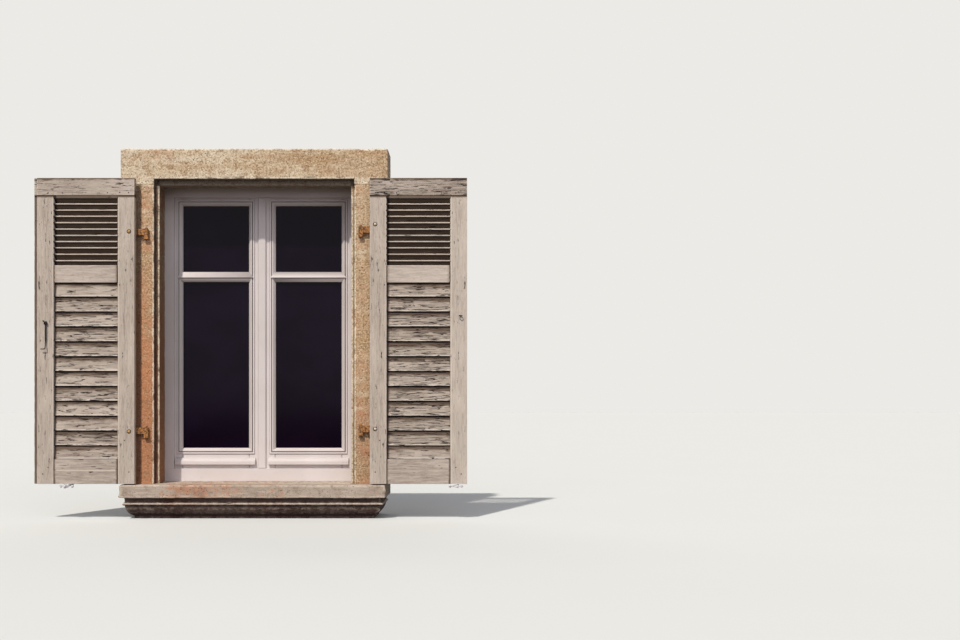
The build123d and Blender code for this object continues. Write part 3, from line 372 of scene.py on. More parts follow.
def carry(outline, places, shrink, along, across, up):
    """An outline carried straight along an axis: place * along + x * across + y * up, drawn in by shrink.

    Returns the grid of points, the outward direction at each, and the grain map.
    """
    along, across, up = (np.array(v, float) for v in (along, across, up))
    flat = outline.points[None] - outline.normals[None] * shrink[:, None, None]
    grid = places[:, None, None] * along + flat[..., :1] * across + flat[..., 1:] * up
    outward = outline.normals[:, :1] * across + outline.normals[:, 1:] * up
    return grid, np.broadcast_to(outward, grid.shape), chart(places, outline.girth)


def weather(grid, outward, worn, depth, seed):
    """Wood that has lost a little at its arrises and lies slightly uneven."""
    uneven = layered(grid, 60 * MM, seed) * 0.35
    bitten = worn * ramp(layered(grid, 22 * MM, seed + 7), 0.05, 0.6)
    return grid + outward * (depth * (uneven - 1.6 * bitten))[..., None]


# Shader maths

class Value:
    """A number or vector in a material, whose arithmetic adds Math nodes."""

    def __init__(self, nodes, socket):
        self.nodes = nodes
        self.socket = socket

    def _math(self, operation, *terms):
        return self.nodes.node("ShaderNodeMath", dict(enumerate(terms)), operation=operation)["Value"]

    def __add__(self, other):
        return self._math("ADD", self, other)

    __radd__ = __add__

    def __sub__(self, other):
        return self._math("SUBTRACT", self, other)

    def __rsub__(self, other):
        return self._math("SUBTRACT", other, self)

    def __mul__(self, other):
        return self._math("MULTIPLY", self, other)

    __rmul__ = __mul__

    def __abs__(self):
        return self._math("ABSOLUTE", self)

    def most(self, other):
        """The larger of two values."""
        return self._math("MAXIMUM", self, other)

    def smooth(self, low, high):
        """0 below low and 1 above high, eased between."""
        inputs = {"Value": self, "From Min": low, "From Max": high}
        return self.nodes.node("ShaderNodeMapRange", inputs, interpolation_type="SMOOTHSTEP")["Result"]


class Nodes:
    """A tree of shader nodes, empty at first."""

    def __init__(self, tree):
        self.tree = tree
        tree.nodes.clear()

    def plug(self, socket, value):
        """Links a value to a socket, or sets it there."""
        if isinstance(value, Value):
            self.tree.links.new(value.socket, socket)
        elif isinstance(value, (tuple, list)) and len(value) == 3 and socket.type == "RGBA":
            socket.default_value = (*value, 1.0)
        else:
            socket.default_value = value

    def node(self, kind, inputs=None, **settings):
        """Adds a node: its settings first, then its values and links. Returns its outputs by name."""
        made = self.tree.nodes.new(kind)
        for key, value in settings.items():
            setattr(made, key, value)
        for key, value in (inputs or {}).items():
            self.plug(made.inputs[key], value)
        return {out.name: Value(self, out) for out in made.outputs if out.enabled}


class Finish(Nodes):
    """One material and its nodes."""

    def __init__(self, name):
        self.material = bpy.data.materials.new(name)
        self.material.use_nodes = True
        super().__init__(self.material.node_tree)

    def place(self):
        """The object's own coordinates, in metres."""
        return self.node("ShaderNodeTexCoord")["Object"]

    def grain_map(self):
        """The piece's map: metres along the grain, metres across it."""
        return self.node("ShaderNodeUVMap", uv_map="grain")["UV"]

    def field(self, name):
        """One of the wear fields of the piece."""
        return self.node("ShaderNodeAttribute", attribute_name=name)["Fac"]

    def axes(self, vector):
        """The three parts of a vector."""
        parts = self.node("ShaderNodeSeparateXYZ", {"Vector": vector})
        return parts["X"], parts["Y"], parts["Z"]

    def stretch(self, vector, scale, shift=(0, 0, 0)):
        """The vector times a scale along each axis, and then shifted."""
        scaled = self.node("ShaderNodeVectorMath", {0: vector, 1: scale}, operation="MULTIPLY")["Vector"]
        return self.node("ShaderNodeVectorMath", {0: scaled, 1: shift}, operation="ADD")["Vector"]

    def noise(self, vector, scale=1.0, detail=3.0, roughness=0.55, twist=0.0):
        """Cloudy noise from 0 to 1."""
        inputs = {"Vector": vector, "Scale": scale, "Detail": detail, "Roughness": roughness, "Distortion": twist}
        return self.node("ShaderNodeTexNoise", inputs)["Fac"]

    def spots(self, vector, scale):
        """Distance to the nearest of many scattered points."""
        return self.node("ShaderNodeTexVoronoi", {"Vector": vector, "Scale": scale})["Distance"]

    def blend(self, share, first, second):
        """From the first colour to the second."""
        return self.node("ShaderNodeMix", {0: share, 6: first, 7: second}, data_type="RGBA")["Result"]

    def coats(self, colour, *coats):
        """A colour with others laid over it in turn, each given by its share and its colour on the screen."""
        for share, screen in coats:
            colour = self.blend(share, colour, srgb(*screen))
        return colour

    def end(self, colour, roughness, gloss, height=None, depth=0.0, metal=0.0):
        """Adds the shader, with a bump where a height of 1 stands for a depth in metres. Returns the material."""
        inputs = {"Base Color": colour, "Roughness": roughness, "Specular IOR Level": gloss, "Metallic": metal}
        if height is not None:
            bump = {"Height": height, "Distance": depth, "Strength": 1.0}
            inputs["Normal"] = self.node("ShaderNodeBump", bump)["Normal"]
        shader = self.node("ShaderNodeBsdfPrincipled", inputs)["BSDF"]
        self.node("ShaderNodeOutputMaterial", {"Surface": shader})
        return self.material


# Finishes

def shutter_finish(name, colours, bolder):
    """Old paint on softwood: grain along the piece, cracks, worn edges, grime, and painted shade in recesses and
    under the slats and boards.

    The grime and painted shade field from 0 to 1 is brown and up to 1.4 black, and below 0 the paint is pale: a
    painted highlight on the slats' noses and the boards' lower edges, and paler paint on some rails and stiles.
    """
    f = Finish(name)
    grain_map = f.grain_map()
    tone, worn, dirt, age = (f.field(field) for field in ("tone", "worn", "dirt", "age"))

    def grain(along, across, shift=(0.0, 0.0), **more):
        return f.noise(f.stretch(grain_map, (along, across, 1.0), (*shift, 0.0)), **more)

    broad = grain(3.0, 11.0)
    streak = grain(7.0, 90.0, detail=6, roughness=0.7)
    fibre = grain(20.0, 230.0, detail=4, roughness=0.65)
    fleck = grain(42.0, 120.0, (5.1, 2.7), roughness=0.6)
    vein = grain(6.0, 115.0, (3.7, 1.9), roughness=0.5, twist=0.35)
    where = grain(14.0, 60.0, (1.3, 8.8))
    check = 1 - abs(vein * 15 - 7.5).smooth(0.16, 0.44)
    cracks = check * (where + 0.27 * age + bolder).smooth(0.67, 0.70)
    # Brown from grime and painted shade, mottled by the grain
    shade = (dirt * 1.15 + (streak - 0.5) * 1.1 + (where - 0.5) * 0.8).smooth(0.30, 1.0) * dirt.smooth(0.0, 0.4)
    edge = (worn * 1.1 + (fibre - 0.5) * 0.9).smooth(0.45, 1.0) * (1 - 0.8 * dirt)
    base = f.blend((streak + 0.05 * tone).smooth(0.38, 0.58), srgb(156, 141, 130), tuple(colours.shutter))
    colour = f.coats(
        base,
        (broad.smooth(0.42, 0.66) * 0.5, (213, 200, 187)),
        (fibre.smooth(0.54, 0.66) * 0.45, (146, 132, 120)),
        (fibre.smooth(0.46, 0.34) * 0.40, (216, 206, 194)),
        (fleck.smooth(0.62, 0.69) * 0.60, (112, 96, 84)),
        (age * 0.24, (126, 110, 94)),
        (shade * 0.90, (94, 76, 60)),
        (edge * 0.60, (226, 214, 198)),
        # Below 0: painted highlight on the slats' noses and the boards' lower edges, and paler paint on some rails
        # and stiles
        ((0 - dirt).smooth(0.0, 0.9) * 0.95, (240, 231, 218)),
        (cracks, (40, 29, 28)),
        # Over 1: black dark joints, and painted shadows in the corners and under the boards
        (dirt.smooth(1.0, 1.4) * 0.95, (34, 25, 28)),
    )
    height = streak * 0.35 + fibre * 0.35 - cracks * 0.9
    return f.end(colour, 0.86 - 0.1 * streak, 0.25, height, 1.5 * MM)


def sandstone_finish(name, colours, redness, paleness):
    """Ochre sandstone: clouded, with cream bruises on the arrises, iron-red patches, pits and tool marks."""
    f = Finish(name)
    place = f.place()
    worn, dirt = f.field("worn"), f.field("dirt")
    x, _, z = f.axes(place)
    cloud = f.noise(place, 5.0, detail=5, roughness=0.6)
    bed = f.noise(f.stretch(place, (3.0, 3.0, 22.0)), detail=4)
    grit = f.noise(place, 100.0, detail=4, roughness=0.8)
    coarse = f.noise(place, 24.0, detail=6, roughness=0.78)
    pits = 1 - f.spots(f.stretch(place, (1.0, 1.0, 0.8)), 70.0).smooth(0.12, 0.36)
    red_place = (cloud * 1.4 + coarse * 0.5 + redness(x, z)).smooth(1.25, 1.70)
    pale_place = (bed * 1.1 + coarse * 0.9 + paleness(x, z)).smooth(1.10, 1.45)
    open_grain = 1 - 0.6 * red_place
    colour = f.coats(
        f.blend(cloud.smooth(0.38, 0.62), srgb(186, 154, 116), tuple(colours.stone)),
        (bed.smooth(0.48, 0.66) * 0.5, (212, 192, 158)),
        (red_place * 0.9, (190, 128, 88)),
        (pale_place * 0.75, (226, 212, 186)),
        ((worn + coarse * 1.5).smooth(1.05, 1.30) * 0.85, (238, 226, 200)),
        (coarse.smooth(0.50, 0.40) * 0.60, (146, 114, 82)),
        (grit.smooth(0.53, 0.60) * open_grain * 0.65, (124, 96, 70)),
        (grit.smooth(0.47, 0.39) * open_grain * 0.60, (240, 226, 200)),
        (pits * coarse.smooth(0.50, 0.60) * 0.85, (84, 60, 46)),
        # Painted shade in the rebates, reveals, soffit and corners, and where the leaf's shadow falls
        (dirt * (0.65 + 0.35 * coarse), (56, 43, 40)),
    )
    return f.end(colour, 0.93, 0.2, coarse * 0.9 + grit * 0.5 - pits * 0.35, 5.0 * MM)


def sill_finish(name, colours):
    """A pale weathered skin on red-brown stone, flaked off in patches, with painted shade on the moulding below
    the front face.
    """
    f = Finish(name)
    place = f.place()
    worn, dirt = f.field("worn"), f.field("dirt")
    cloud = f.noise(place, 6.0, detail=5, roughness=0.6)
    coarse = f.noise(place, 38.0, detail=5, roughness=0.7)
    streak = f.noise(f.stretch(place, (5.0, 5.0, 60.0)), detail=4, roughness=0.6)
    grit = f.noise(place, 130.0, detail=4, roughness=0.75)
    specks = 1 - f.spots(place, 80.0).smooth(0.10, 0.30)
    middle = 1 - abs(f.axes(place)[0] + 0.16).smooth(0.15, 0.45)
    flaked = (cloud * 0.9 + coarse * 0.6 + middle * 0.16).smooth(0.84, 1.0)
    skin = f.coats(
        f.blend(cloud.smooth(0.35, 0.65), srgb(172, 156, 140), tuple(colours.sill)),
        (streak.smooth(0.50, 0.66) * 0.5, (206, 194, 178)),
        (coarse.smooth(0.48, 0.38) * 0.5, (146, 126, 108)),
    )
    stone = f.blend(coarse.smooth(0.4, 0.6), srgb(150, 98, 72), srgb(184, 134, 102))
    colour = f.coats(
        f.blend(flaked * 0.8, skin, stone),
        (grit.smooth(0.56, 0.68) * 0.5, (120, 98, 84)),
        # Painted shade below the front face
        (dirt * (0.68 + 0.45 * cloud), (62, 42, 38)),
        (worn * coarse.smooth(0.42, 0.6) * (1 - 0.6 * dirt) * 0.6, (222, 208, 190)),
        (specks * cloud.smooth(0.45, 0.6) * 0.8, (80, 60, 52)),
    )
    return f.end(colour, 0.9, 0.25, coarse * 0.8 + grit * 0.35 - specks * 0.4 - flaked * 0.3, 4.0 * MM)


def window_finish(name, colours):
    """White window paint, a little chalky and mottled with grime, with painted shade in the grooves of the
    mouldings and on the cap's pointed ends.
    """
    f = Finish(name)
    place = f.place()
    cloud = f.noise(place, 5.0, detail=4)
    brush = f.noise(f.stretch(place, (220.0, 220.0, 9.0)))
    grime = f.noise(place, 60.0, detail=5, roughness=0.7)
    colour = f.coats(
        tuple(colours.window),
        (cloud.smooth(0.35, 0.7) * 0.5, (200, 191, 185)),
        (grime.smooth(0.60, 0.75) * 0.35, (168, 156, 146)),
        # Painted shade in the grooves of the mouldings and on the cap's pointed ends
        (f.field("dirt") * 0.85, (92, 78, 76)),
    )
    return f.end(colour, 0.42 + 0.25 * grime, 0.4, brush * 0.4 + grime * 0.2, 0.25 * MM)


def glass_finish(name):
    """Panes with a dark room behind them: nearly black, with a faint film."""
    f = Finish(name)
    place = f.place()
    film = f.noise(f.stretch(place, (2.0, 2.0, 3.0)))
    dust = f.noise(place, 90.0, detail=4, roughness=0.7)
    colour = f.blend(film.smooth(0.35, 0.75), srgb(12, 3, 17), srgb(21, 10, 29))
    return f.end(colour, 0.06 + 0.1 * dust, 0.06)


def iron_finish(name, bright, dark, metal=0.0, grain=140.0):
    """Weathered iron: two colours broken up by coarse rust, pitted."""
    f = Finish(name)
    place = f.place()
    scale = f.noise(place, grain, detail=5, roughness=0.65)
    crust = f.noise(place, grain * 3, roughness=0.7)
    colour = f.blend(scale.smooth(0.40, 0.60), dark, bright)
    colour = f.blend(crust.smooth(0.60, 0.78) * 0.6, colour, tuple(0.35 * c for c in dark))
    return f.end(colour, 0.85 - 0.25 * scale, 0.35, scale * 0.6 + crust * 0.5, 0.8 * MM, metal)


def sizes():
    """The settings of the leaves."""
    return bpy.context.scene.shutter_sizes


def stones():
    """The settings of the stones."""
    return bpy.context.scene.stone_sizes


def colours():
    """The settings of the main colours."""
    return bpy.context.scene.finish_colours


def finish(name, make, *values):
    """The material of that name, made the first time it is asked for."""
    if name not in FINISHES:
        FINISHES[name] = make(name, *values)
    return FINISHES[name]


def paint_of(side):
    """The leaves' paint: the right leaf is the more cracked one."""
    bolder = {"left": 0.01, "right": 0.035}[side]
    return finish(f"{side}_shutter_paint", shutter_finish, colours(), bolder)


def iron(name):
    """One of the iron finishes."""
    bright, dark, metal, grain = IRONS[name]
    return finish(name, iron_finish, srgb(*bright), srgb(*dark), metal, grain)


# Placing

def box(node):
    """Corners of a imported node, as two arrays."""
    low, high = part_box(node)
    return np.array(low), np.array(high)


def span(node):
    """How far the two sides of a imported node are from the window's middle, the nearer first."""
    return sorted(abs(corner[0]) for corner in box(node))


def xyz(x, y, z):
    """Coordinates joined into points."""
    return np.stack(np.broadcast_arrays(x, y, z), axis=-1)


def upright(side):
    """The directions of an upright member: up, away from the window's middle, and into the house."""
    return (0, 0, 1), (SIDES[side], 0, 0), (0, 1, 0)


def rebate(side, front, back, end):
    """The rebate at a leaf's free edge: its plane, and where the halves before and behind it end."""
    plane = (front + back) / 2 - SIDES[side] * REBATE_ROOM
    ends = (end - LIP[side], end)
    return plane, *(ends if side == "left" else ends[::-1])


def soften(piece, width):
    """A small rounding of every sharp edge."""
    bevel = piece.modifiers.new("arris", "BEVEL")
    bevel.width = width
    bevel.segments = 2
    bevel.limit_method = "ANGLE"
    bevel.angle_limit = math.radians(25)


def dress(node, material, arris=0.0):
    """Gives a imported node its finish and, where asked, softened edges."""
    piece = frame["nodes"][node]
    piece.data.materials.clear()
    piece.data.materials.append(material)
    if arris:
        weld = piece.modifiers.new("weld", "WELD")
        weld.merge_threshold = 0.02 * MM
        soften(piece, arris)


def member(surface, corners, radii, run, axes, seed, dirt, step=14 * MM, age=0.1, tight=False):
    """A straight wooden member with weathered arrises. A tight one butts at both ends, where grime gathers in dark
    joints.
    """
    size = sizes()
    outline = Outline(corners, radii, SECTION_STEP)
    places, shrink = stations(*run, step, size.arris * 0.6)
    grid, outward, grain = carry(outline, places, shrink, *axes)
    ends = np.minimum(places - run[0], run[1] - places)
    near_end = np.broadcast_to(np.clip(1 - ends / END_REACH, 0, 1)[:, None], grid.shape[:2])
    worn = np.broadcast_to(outline.worn[None], near_end.shape)
    soil = dirt(grid, outward)
    if tight:
        soil = np.where(near_end > 0, np.maximum(soil, 1.4 * near_end), soil)
        worn = worn * (1 - near_end)
    else:
        worn = np.maximum(worn, near_end)
    grid = weather(grid, outward, worn, size.wear, seed)
    grain = grain + np.array([1.73, 0.61]) * seed
    surface.add(grid, grain, worn, soil, math.sin(seed * 12.9), age)


def each_side(draw):
    """Draws the same piece on the left and on the right, for an operator."""
    for side in SIDES:
        draw(side)
    return {"FINISHED"}


# Shutters

class SHUTTER_OT_frames(bpy.types.Operator):
    """Stiles and rails of both leaves"""

    bl_idname = "shutter.frames"
    bl_label = "Stiles and rails"

    def execute(self, context):
        return each_side(leaf_frame)


def leaf_frame(side):
    """The five framing members of one leaf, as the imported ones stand, with softened and worn edges."""
    size = sizes()
    soft = size.arris
    left = side == "left"
    hinge, free, over = (span(f"{side}_{n}") for n in ("hinge_stile", "meeting_stile", "top_rail"))
    top_low, top_high = box(f"{side}_top_rail")
    _, front, head = top_low
    _, back, crown = top_high
    stile = box(f"{side}_bottom_rail")[0][2], head
    surface = Surface()
    bead = [(hinge[0], front), (hinge[1] - size.bead, front), (hinge[1], front + size.bead), (hinge[1], back),
            (hinge[0], back)]
    member(surface, bead, [soft, 1 * MM, 1 * MM, soft, soft], stile, upright(side), 3, stile_soil(head))
    member(surface, free_outline(side, free, front, back), soft, stile, upright(side), 5,
           stile_soil(head, free[1] if left else None, 0 if left else 0.2), age=0.18 if left else 0.0)
    split, front_end, back_end = rebate(side, front, back, over[1])
    away = (SIDES[side], 0, 0), (0, 1, 0), (0, 0, 1)
    seed, age, soil = (8, 0.4, head_soil(head, crown)) if left else (11, 0.75, head_soil(head, crown, 24 * MM))
    outside = [(front, crown), (front, head), (split, head), (split, crown)]
    inside = [(split, crown), (split, head), (back, head), (back, crown)]
    member(surface, outside, [soft, soft, 0, 0], (over[0], front_end), away, seed, soil, age=age)
    member(surface, inside, [0, 0, soft, soft], (over[0], back_end), away, seed, soil, age=age)
    for node, seed in (("middle_rail", 14), ("bottom_rail", 17)):
        low, high = box(f"{side}_{node}")
        section = [(front, low[2]), (back, low[2]), (back, high[2]), (front, high[2])]
        if node == "middle_rail":
            section[2] = (back, high[2] - (back - front) * math.tan(size.slat_tilt))
            soil = rail_soil(low[2], None, 0.2 if left else 0.27)
        else:
            soil = rail_soil(None, high[2], 0)
            if left:
                joint = high[2] - RAIL_JOINT
                section += [(front, joint + 1.5 * MM), (front + 3 * MM, joint), (front, joint - 1.5 * MM)]
        radii = [soft] * 4 + [0.5 * MM] * (len(section) - 4)
        run = (hinge[1] - 1 * MM, free[0] + 1 * MM)
        member(surface, section, radii, run, away, seed, soil, age=0.1 if left else -0.2, tight=True)
    surface.build(f"{side}_leaf_frame", paint_of(side), f"leaf_{side}", [
        f"{side}_{n}" for n in ("hinge_stile", "meeting_stile", "top_rail", "middle_rail", "bottom_rail")])


def free_outline(side, free, front, back):
    """Section of the stile at the free edge, with the half-depth rebate that each leaf has there."""
    bead = sizes().bead
    split, front_end, back_end = rebate(side, front, back, free[1])
    return [(free[0], back), (free[0], front + bead), (free[0] + bead, front), (front_end, front),
            (front_end, split), (back_end, split), (back_end, back)]


def stile_soil(head, lip=None, pale=0):
    """A dark joint at the top of a stile, pale paint below, and the left leaf's lip darker."""
    def soil(grid, outward):
        joint = 1.4 * ramp(grid[..., 2], head - 4 * MM, head - 1.5 * MM)
        joint = np.where(joint > 0.05, joint, -pale)
        if lip is None:
            return joint
        return np.maximum(joint, 0.85 * ramp(np.abs(grid[..., 0]), lip - 21.5 * MM, lip - 19.5 * MM))
    return soil


def head_soil(head, top, depth=20 * MM):
    """Dark weathering that runs down from the top edge of a leaf, and the dark joint below its top rail."""
    def soil(grid, outward):
        run = ramp(grid[..., 2] + 12 * MM * layered(grid, 25 * MM, 41), top - depth, top - 2 * MM)
        return np.maximum(run, 1.4 * ramp(-grid[..., 2], -head - 3.5 * MM, -head - 1 * MM))
    return soil


def rail_soil(low, high, pale):
    """A dark line along the lower or upper edge of a rail, on paler paint elsewhere."""
    def soil(grid, outward):
        if high is None:
            line = 0.8 * ramp(-grid[..., 2], -low - 2 * MM, -low)
        else:
            line = 1.4 * ramp(grid[..., 2], high - 3.5 * MM, high - 1 * MM)
        return np.where(line > 0.05, line, -pale)
    return soil


def corner_painted_shadow(side, grid):
    """Painted shadow in the corners between the infill and the stiles: black, wider on the side away from the sun,
    where the stile's shadow falls on the infill.
    """
    hinge, free = span(f"{side}_hinge_stile")[1], span(f"{side}_meeting_stile")[0]
    low, high = sorted((SIDES[side] * hinge, SIDES[side] * free))
    x = grid[..., 0]
    return np.maximum(1.5 * ramp(low + 11 * MM - x, 0, 5 * MM), 1.3 * ramp(x - high + 4 * MM, 0, 3 * MM))


class SHUTTER_OT_louvres(bpy.types.Operator):
    """Louvre slats of both leaves"""

    bl_idname = "shutter.louvres"
    bl_label = "Louvre slats"

    def execute(self, context):
        return each_side(louvre_slats)


def louvre_slats(side):
    """Slats that fall towards the wall side, each with a softened nose and its own small error.

    The first slat's nose reaches up into the top rail and closes the slit below it.
    """
    size = sizes()
    low, high = box(f"{side}_louvre_slats")
    front, back = low[1], high[1]
    slope = math.tan(size.slat_tilt)
    tall = size.slat_thickness / math.cos(size.slat_tilt)
    top = box(f"{side}_top_rail")[0][2] - size.slat_top_gap
    surface = Surface()
    for i in range(size.slat_count):
        seed = 20 + i + (40 if side == "right" else 0)
        nose = top - i * size.slat_pitch + SLAT_ERROR * math.sin(seed * 7.7)
        fall = (back - front) * (slope + 0.03 * math.sin(seed * 3.1))
        # The first slat, in the shadow of the top rail, gets painted shade all over and no painted highlight
        closed, first_slat_shade = (size.slat_top_gap + 2.5 * MM, 1.05) if i == 0 else (0, 0.0)
        section = [(front, nose - 1.5 * MM + closed), (back, nose - fall),
                   (back, nose - fall - tall), (front, nose - tall + 1 * MM)]
        member(surface, section, 2 * MM, (low[0], high[0]), LEVEL, seed, slat_painted_light(side, front, first_slat_shade),
               step=12 * MM)
    surface.build(f"{side}_slats", paint_of(side), f"leaf_{side}", [f"{side}_louvre_slats"])


def slat_painted_light(side, front, first_slat_shade):
    """Painted shade on the slats' undersides, darkest just behind the nose and further in between the slats. The
    noses are painted pale as a painted highlight.
    """
    def soil(grid, outward):
        inward = grid[..., 1] - front
        # Painted highlight on the sunlit front of each nose, left off the first slat
        nose = -ramp(-outward[..., 1], 0.15, 0.5) * ramp(7 * MM - inward, 0, 3 * MM) * (first_slat_shade == 0)
        # Painted shade on the undersides that face down, darkest just behind the nose
        under = ramp(-outward[..., 2], -0.2, 0.5) * (0.70 + 0.65 * ramp(16 * MM - inward, 0, 12 * MM))
        # Painted shade further in, between the slats
        inner_shade = 0.8 * ramp(inward, 6 * MM, 16 * MM)
        dark = np.maximum.reduce([under, inner_shade, corner_painted_shadow(side, grid), np.full(inner_shade.shape, first_slat_shade)])
        return np.where(dark > 0.05, dark, nose)
    return soil


class SHUTTER_OT_boards(bpy.types.Operator):
    """Lapped boards of both leaves"""

    bl_idname = "shutter.boards"
    bl_label = "Lapped boards"

    def execute(self, context):
        return each_side(lapped_boards)


def lapped_boards(side):
    """Boards that lean back under the one above, each a little askew, with a worn nose and lower edge."""
    size = sizes()
    thick = size.board_thickness
    low, high = box(f"{side}_boards")
    front = box(f"{side}_top_rail")[0][1] + size.board_setback
    foot = box(f"{side}_bottom_rail")[1][2]
    limit = box(f"{side}_middle_rail")[0][2]
    lean = size.board_step / size.board_pitch
    surface = Surface()
    shows = size.first_board
    count = 0
    while foot < limit - thick:
        seed = (91 if side == "left" else 131) + count
        top = min(foot + shows + size.board_lap, limit)
        set_back = lean * (top - foot)
        tilt = BOARD_ERROR * math.sin(seed * 5.3)
        section = [(front + tilt, foot), (front + set_back, top), (front + set_back + thick, top),
                   (front + thick, foot)]
        member(surface, section, [2 * MM, 1 * MM, 1 * MM, 1 * MM], (low[0], high[0]), LEVEL, seed,
               board_painted_light(side, foot, shows), step=12 * MM, age=BOARD_AGES[side][count])
        foot += shows
        shows = size.board_pitch
        count += 1
    surface.build(f"{side}_lapped_boards", paint_of(side), f"leaf_{side}", [f"{side}_boards"])


def board_painted_light(side, foot, shows):
    """Each board darker towards its top, a black band of painted shadow right under the next one, and a painted
    highlight on its sunlit lower edge.
    """
    def soil(grid, outward):
        rise = (grid[..., 2] - foot) / shows
        height = rise + 0.14 * layered(grid * (0.3, 1, 1), 30 * MM, 61)
        # Black band of painted shadow under the next board's lower edge
        black = 1.5 * ramp(rise, 0.84, 0.88)
        dark = np.maximum.reduce([ramp(height, 0.34, 0.92), black, corner_painted_shadow(side, grid)])
        # Pale lower edge: painted highlight where the sun falls on it
        return dark - 0.5 * ramp(0.14 - rise, 0, 0.08) * (dark < 0.05)
    return soil


class SHUTTER_OT_nails(bpy.types.Operator):
    """Nail heads in the framing of both leaves"""

    bl_idname = "shutter.nails"
    bl_label = "Nails"

    def execute(self, context):
        return each_side(nail_heads)


def nail_heads(side):
    """Small rusty heads at the joints: a quarter circle turned round, r cos a across and r sin a out."""
    over, hinge, free = (span(f"{side}_{n}") for n in ("top_rail", "hinge_stile", "meeting_stile"))
    _, front, head = box(f"{side}_top_rail")[0]
    foot, rail_top = (corner[2] for corner in box(f"{side}_bottom_rail"))
    row = head + 14 * MM
    places = [(over[0] + 30 * MM, row + 1 * MM), (over[0] + 76 * MM, row + 2 * MM), (over[0] + 140 * MM, row),
              (free[0] - 45 * MM, row - 1 * MM), (free[0] + 30 * MM, row), (free[0] + 58 * MM, foot + 52 * MM),
              (free[0] + 30 * MM, foot + 86 * MM), (hinge[0] + 28 * MM, foot + 62 * MM),
              (hinge[0] + 52 * MM, rail_top + 96 * MM), (hinge[1] - 12 * MM, rail_top + 905 * MM)]
    around = np.linspace(0, 2 * math.pi, 9)[:-1]
    rise = np.radians([0, 35, 70])[:, None]
    across = NAIL_RADIUS * np.cos(rise)
    out = 0.45 * NAIL_RADIUS * np.sin(rise)
    surface = Surface()
    for x, z in places:
        grid = xyz(SIDES[side] * x + across * np.cos(around), front + 0.4 * MM - out, z + across * np.sin(around))
        surface.add(grid, np.zeros((3, 9, 2)))
    surface.build(f"{side}_nails", iron("nail_rust"), f"leaf_{side}")


# Stones

class SHUTTER_OT_stones(bpy.types.Operator):
    """Jambs, lintel and sill"""

    bl_idname = "shutter.stones"
    bl_label = "Stone surround"

    def execute(self, context):
        for side in SIDES:
            jamb(side)
        lintel()
        sill()
        return {"FINISHED"}


def hew(grid, outward, worn, seed):
    """Dressed stone: uneven faces, and chips where noise is high along an arris."""
    size = stones()
    face = layered(grid, 55 * MM, seed, 4) + 0.5 * layered(grid, 16 * MM, seed + 3)
    chips = worn ** 1.5 * ramp(layered(grid, 30 * MM, seed + 9, 4), 0.08, 0.5)
    return grid + outward * (size.tooling * face - size.chip * chips)[..., None]


def jamb(side):
    """A jamb: the rebated plan carried up from sill to lintel."""
    size = stones()
    soft = size.arris
    low, high = box(f"jamb_{side}")
    inner, outer = span(f"jamb_{side}")
    opening = inner + REBATE_WIDTH
    plan = [(opening, 0), (outer, 0), (outer, high[1]), (inner + REVEAL_SPLAY, high[1]), (inner, REBATE_DEPTH),
            (opening, REBATE_DEPTH)]
    outline = Outline(plan, [soft, soft, 1 * MM, soft, soft, 1 * MM], size.step, reach=12 * MM)
    places, shrink = stations(low[2], high[2], size.step, 2 * MM)
    grid, outward, grain = carry(outline, places, shrink, *upright(side))
    worn = np.broadcast_to(outline.worn, grid.shape[:2])
    grid = hew(grid, outward, worn, 31 if side == "left" else 37)
    grid[..., 2] = np.clip(grid[..., 2], low[2], high[2])
    x, y = np.abs(grid[..., 0]), grid[..., 1]
    # Painted shade in the inner corner of the rebate and in the corner against the window frame
    corner = np.exp(-((np.hypot(x - opening, y - REBATE_DEPTH) / (4 * MM)) ** 2))
    joint = ramp(y, high[1] - 14 * MM, high[1] - 6 * MM) * (x < opening)
    # Darker towards the foot
    foot = 0.16 * ramp(-grid[..., 2], -0.85, -0.40)
    dirt = np.maximum.reduce([0.9 * corner, 0.9 * joint, foot])
    if side == "left":
        leaf = span("left_hinge_stile")[0]
        # Painted shade on the rebate's side face and on the reveal, which face away from the sun
        cheek = (np.abs(x - opening) < 3.5 * MM) & (y > 3 * MM) & (y < REBATE_DEPTH)
        reveal = 0.45 * ramp(y, REBATE_DEPTH + 2 * MM, REBATE_DEPTH + 6 * MM) * (x < opening)
        # Painted shadow of the open leaf on the stone's face, fading outward
        behind = 0.70 * ramp(x, leaf - 26 * MM, leaf - 14 * MM) * (y < 3 * MM)
        behind = behind * (1 - 0.85 * ramp(x, leaf - 10 * MM, leaf + 45 * MM))
        dirt = np.maximum.reduce([dirt, 0.95 * cheek, reveal, behind])
    surface = Surface()
    surface.add(grid, grain, worn, dirt)
    surface.build(f"{side}_jamb_stone", jamb_stone(side), "surround", [f"jamb_{side}"])


def jamb_stone(side):
    """The finish of a jamb: red from the foot up on the left, ochre on the right."""
    if side == "left":
        return finish("left_jamb_stone", sandstone_finish, colours(), lambda x, z: 1.02 - 0.38 * z,
                      lambda x, z: 0.30 * z - 0.40)
    return finish("right_jamb_stone", sandstone_finish, colours(), lambda x, z: 0.55 - 0.16 * z,
                  lambda x, z: 0.06 * z)


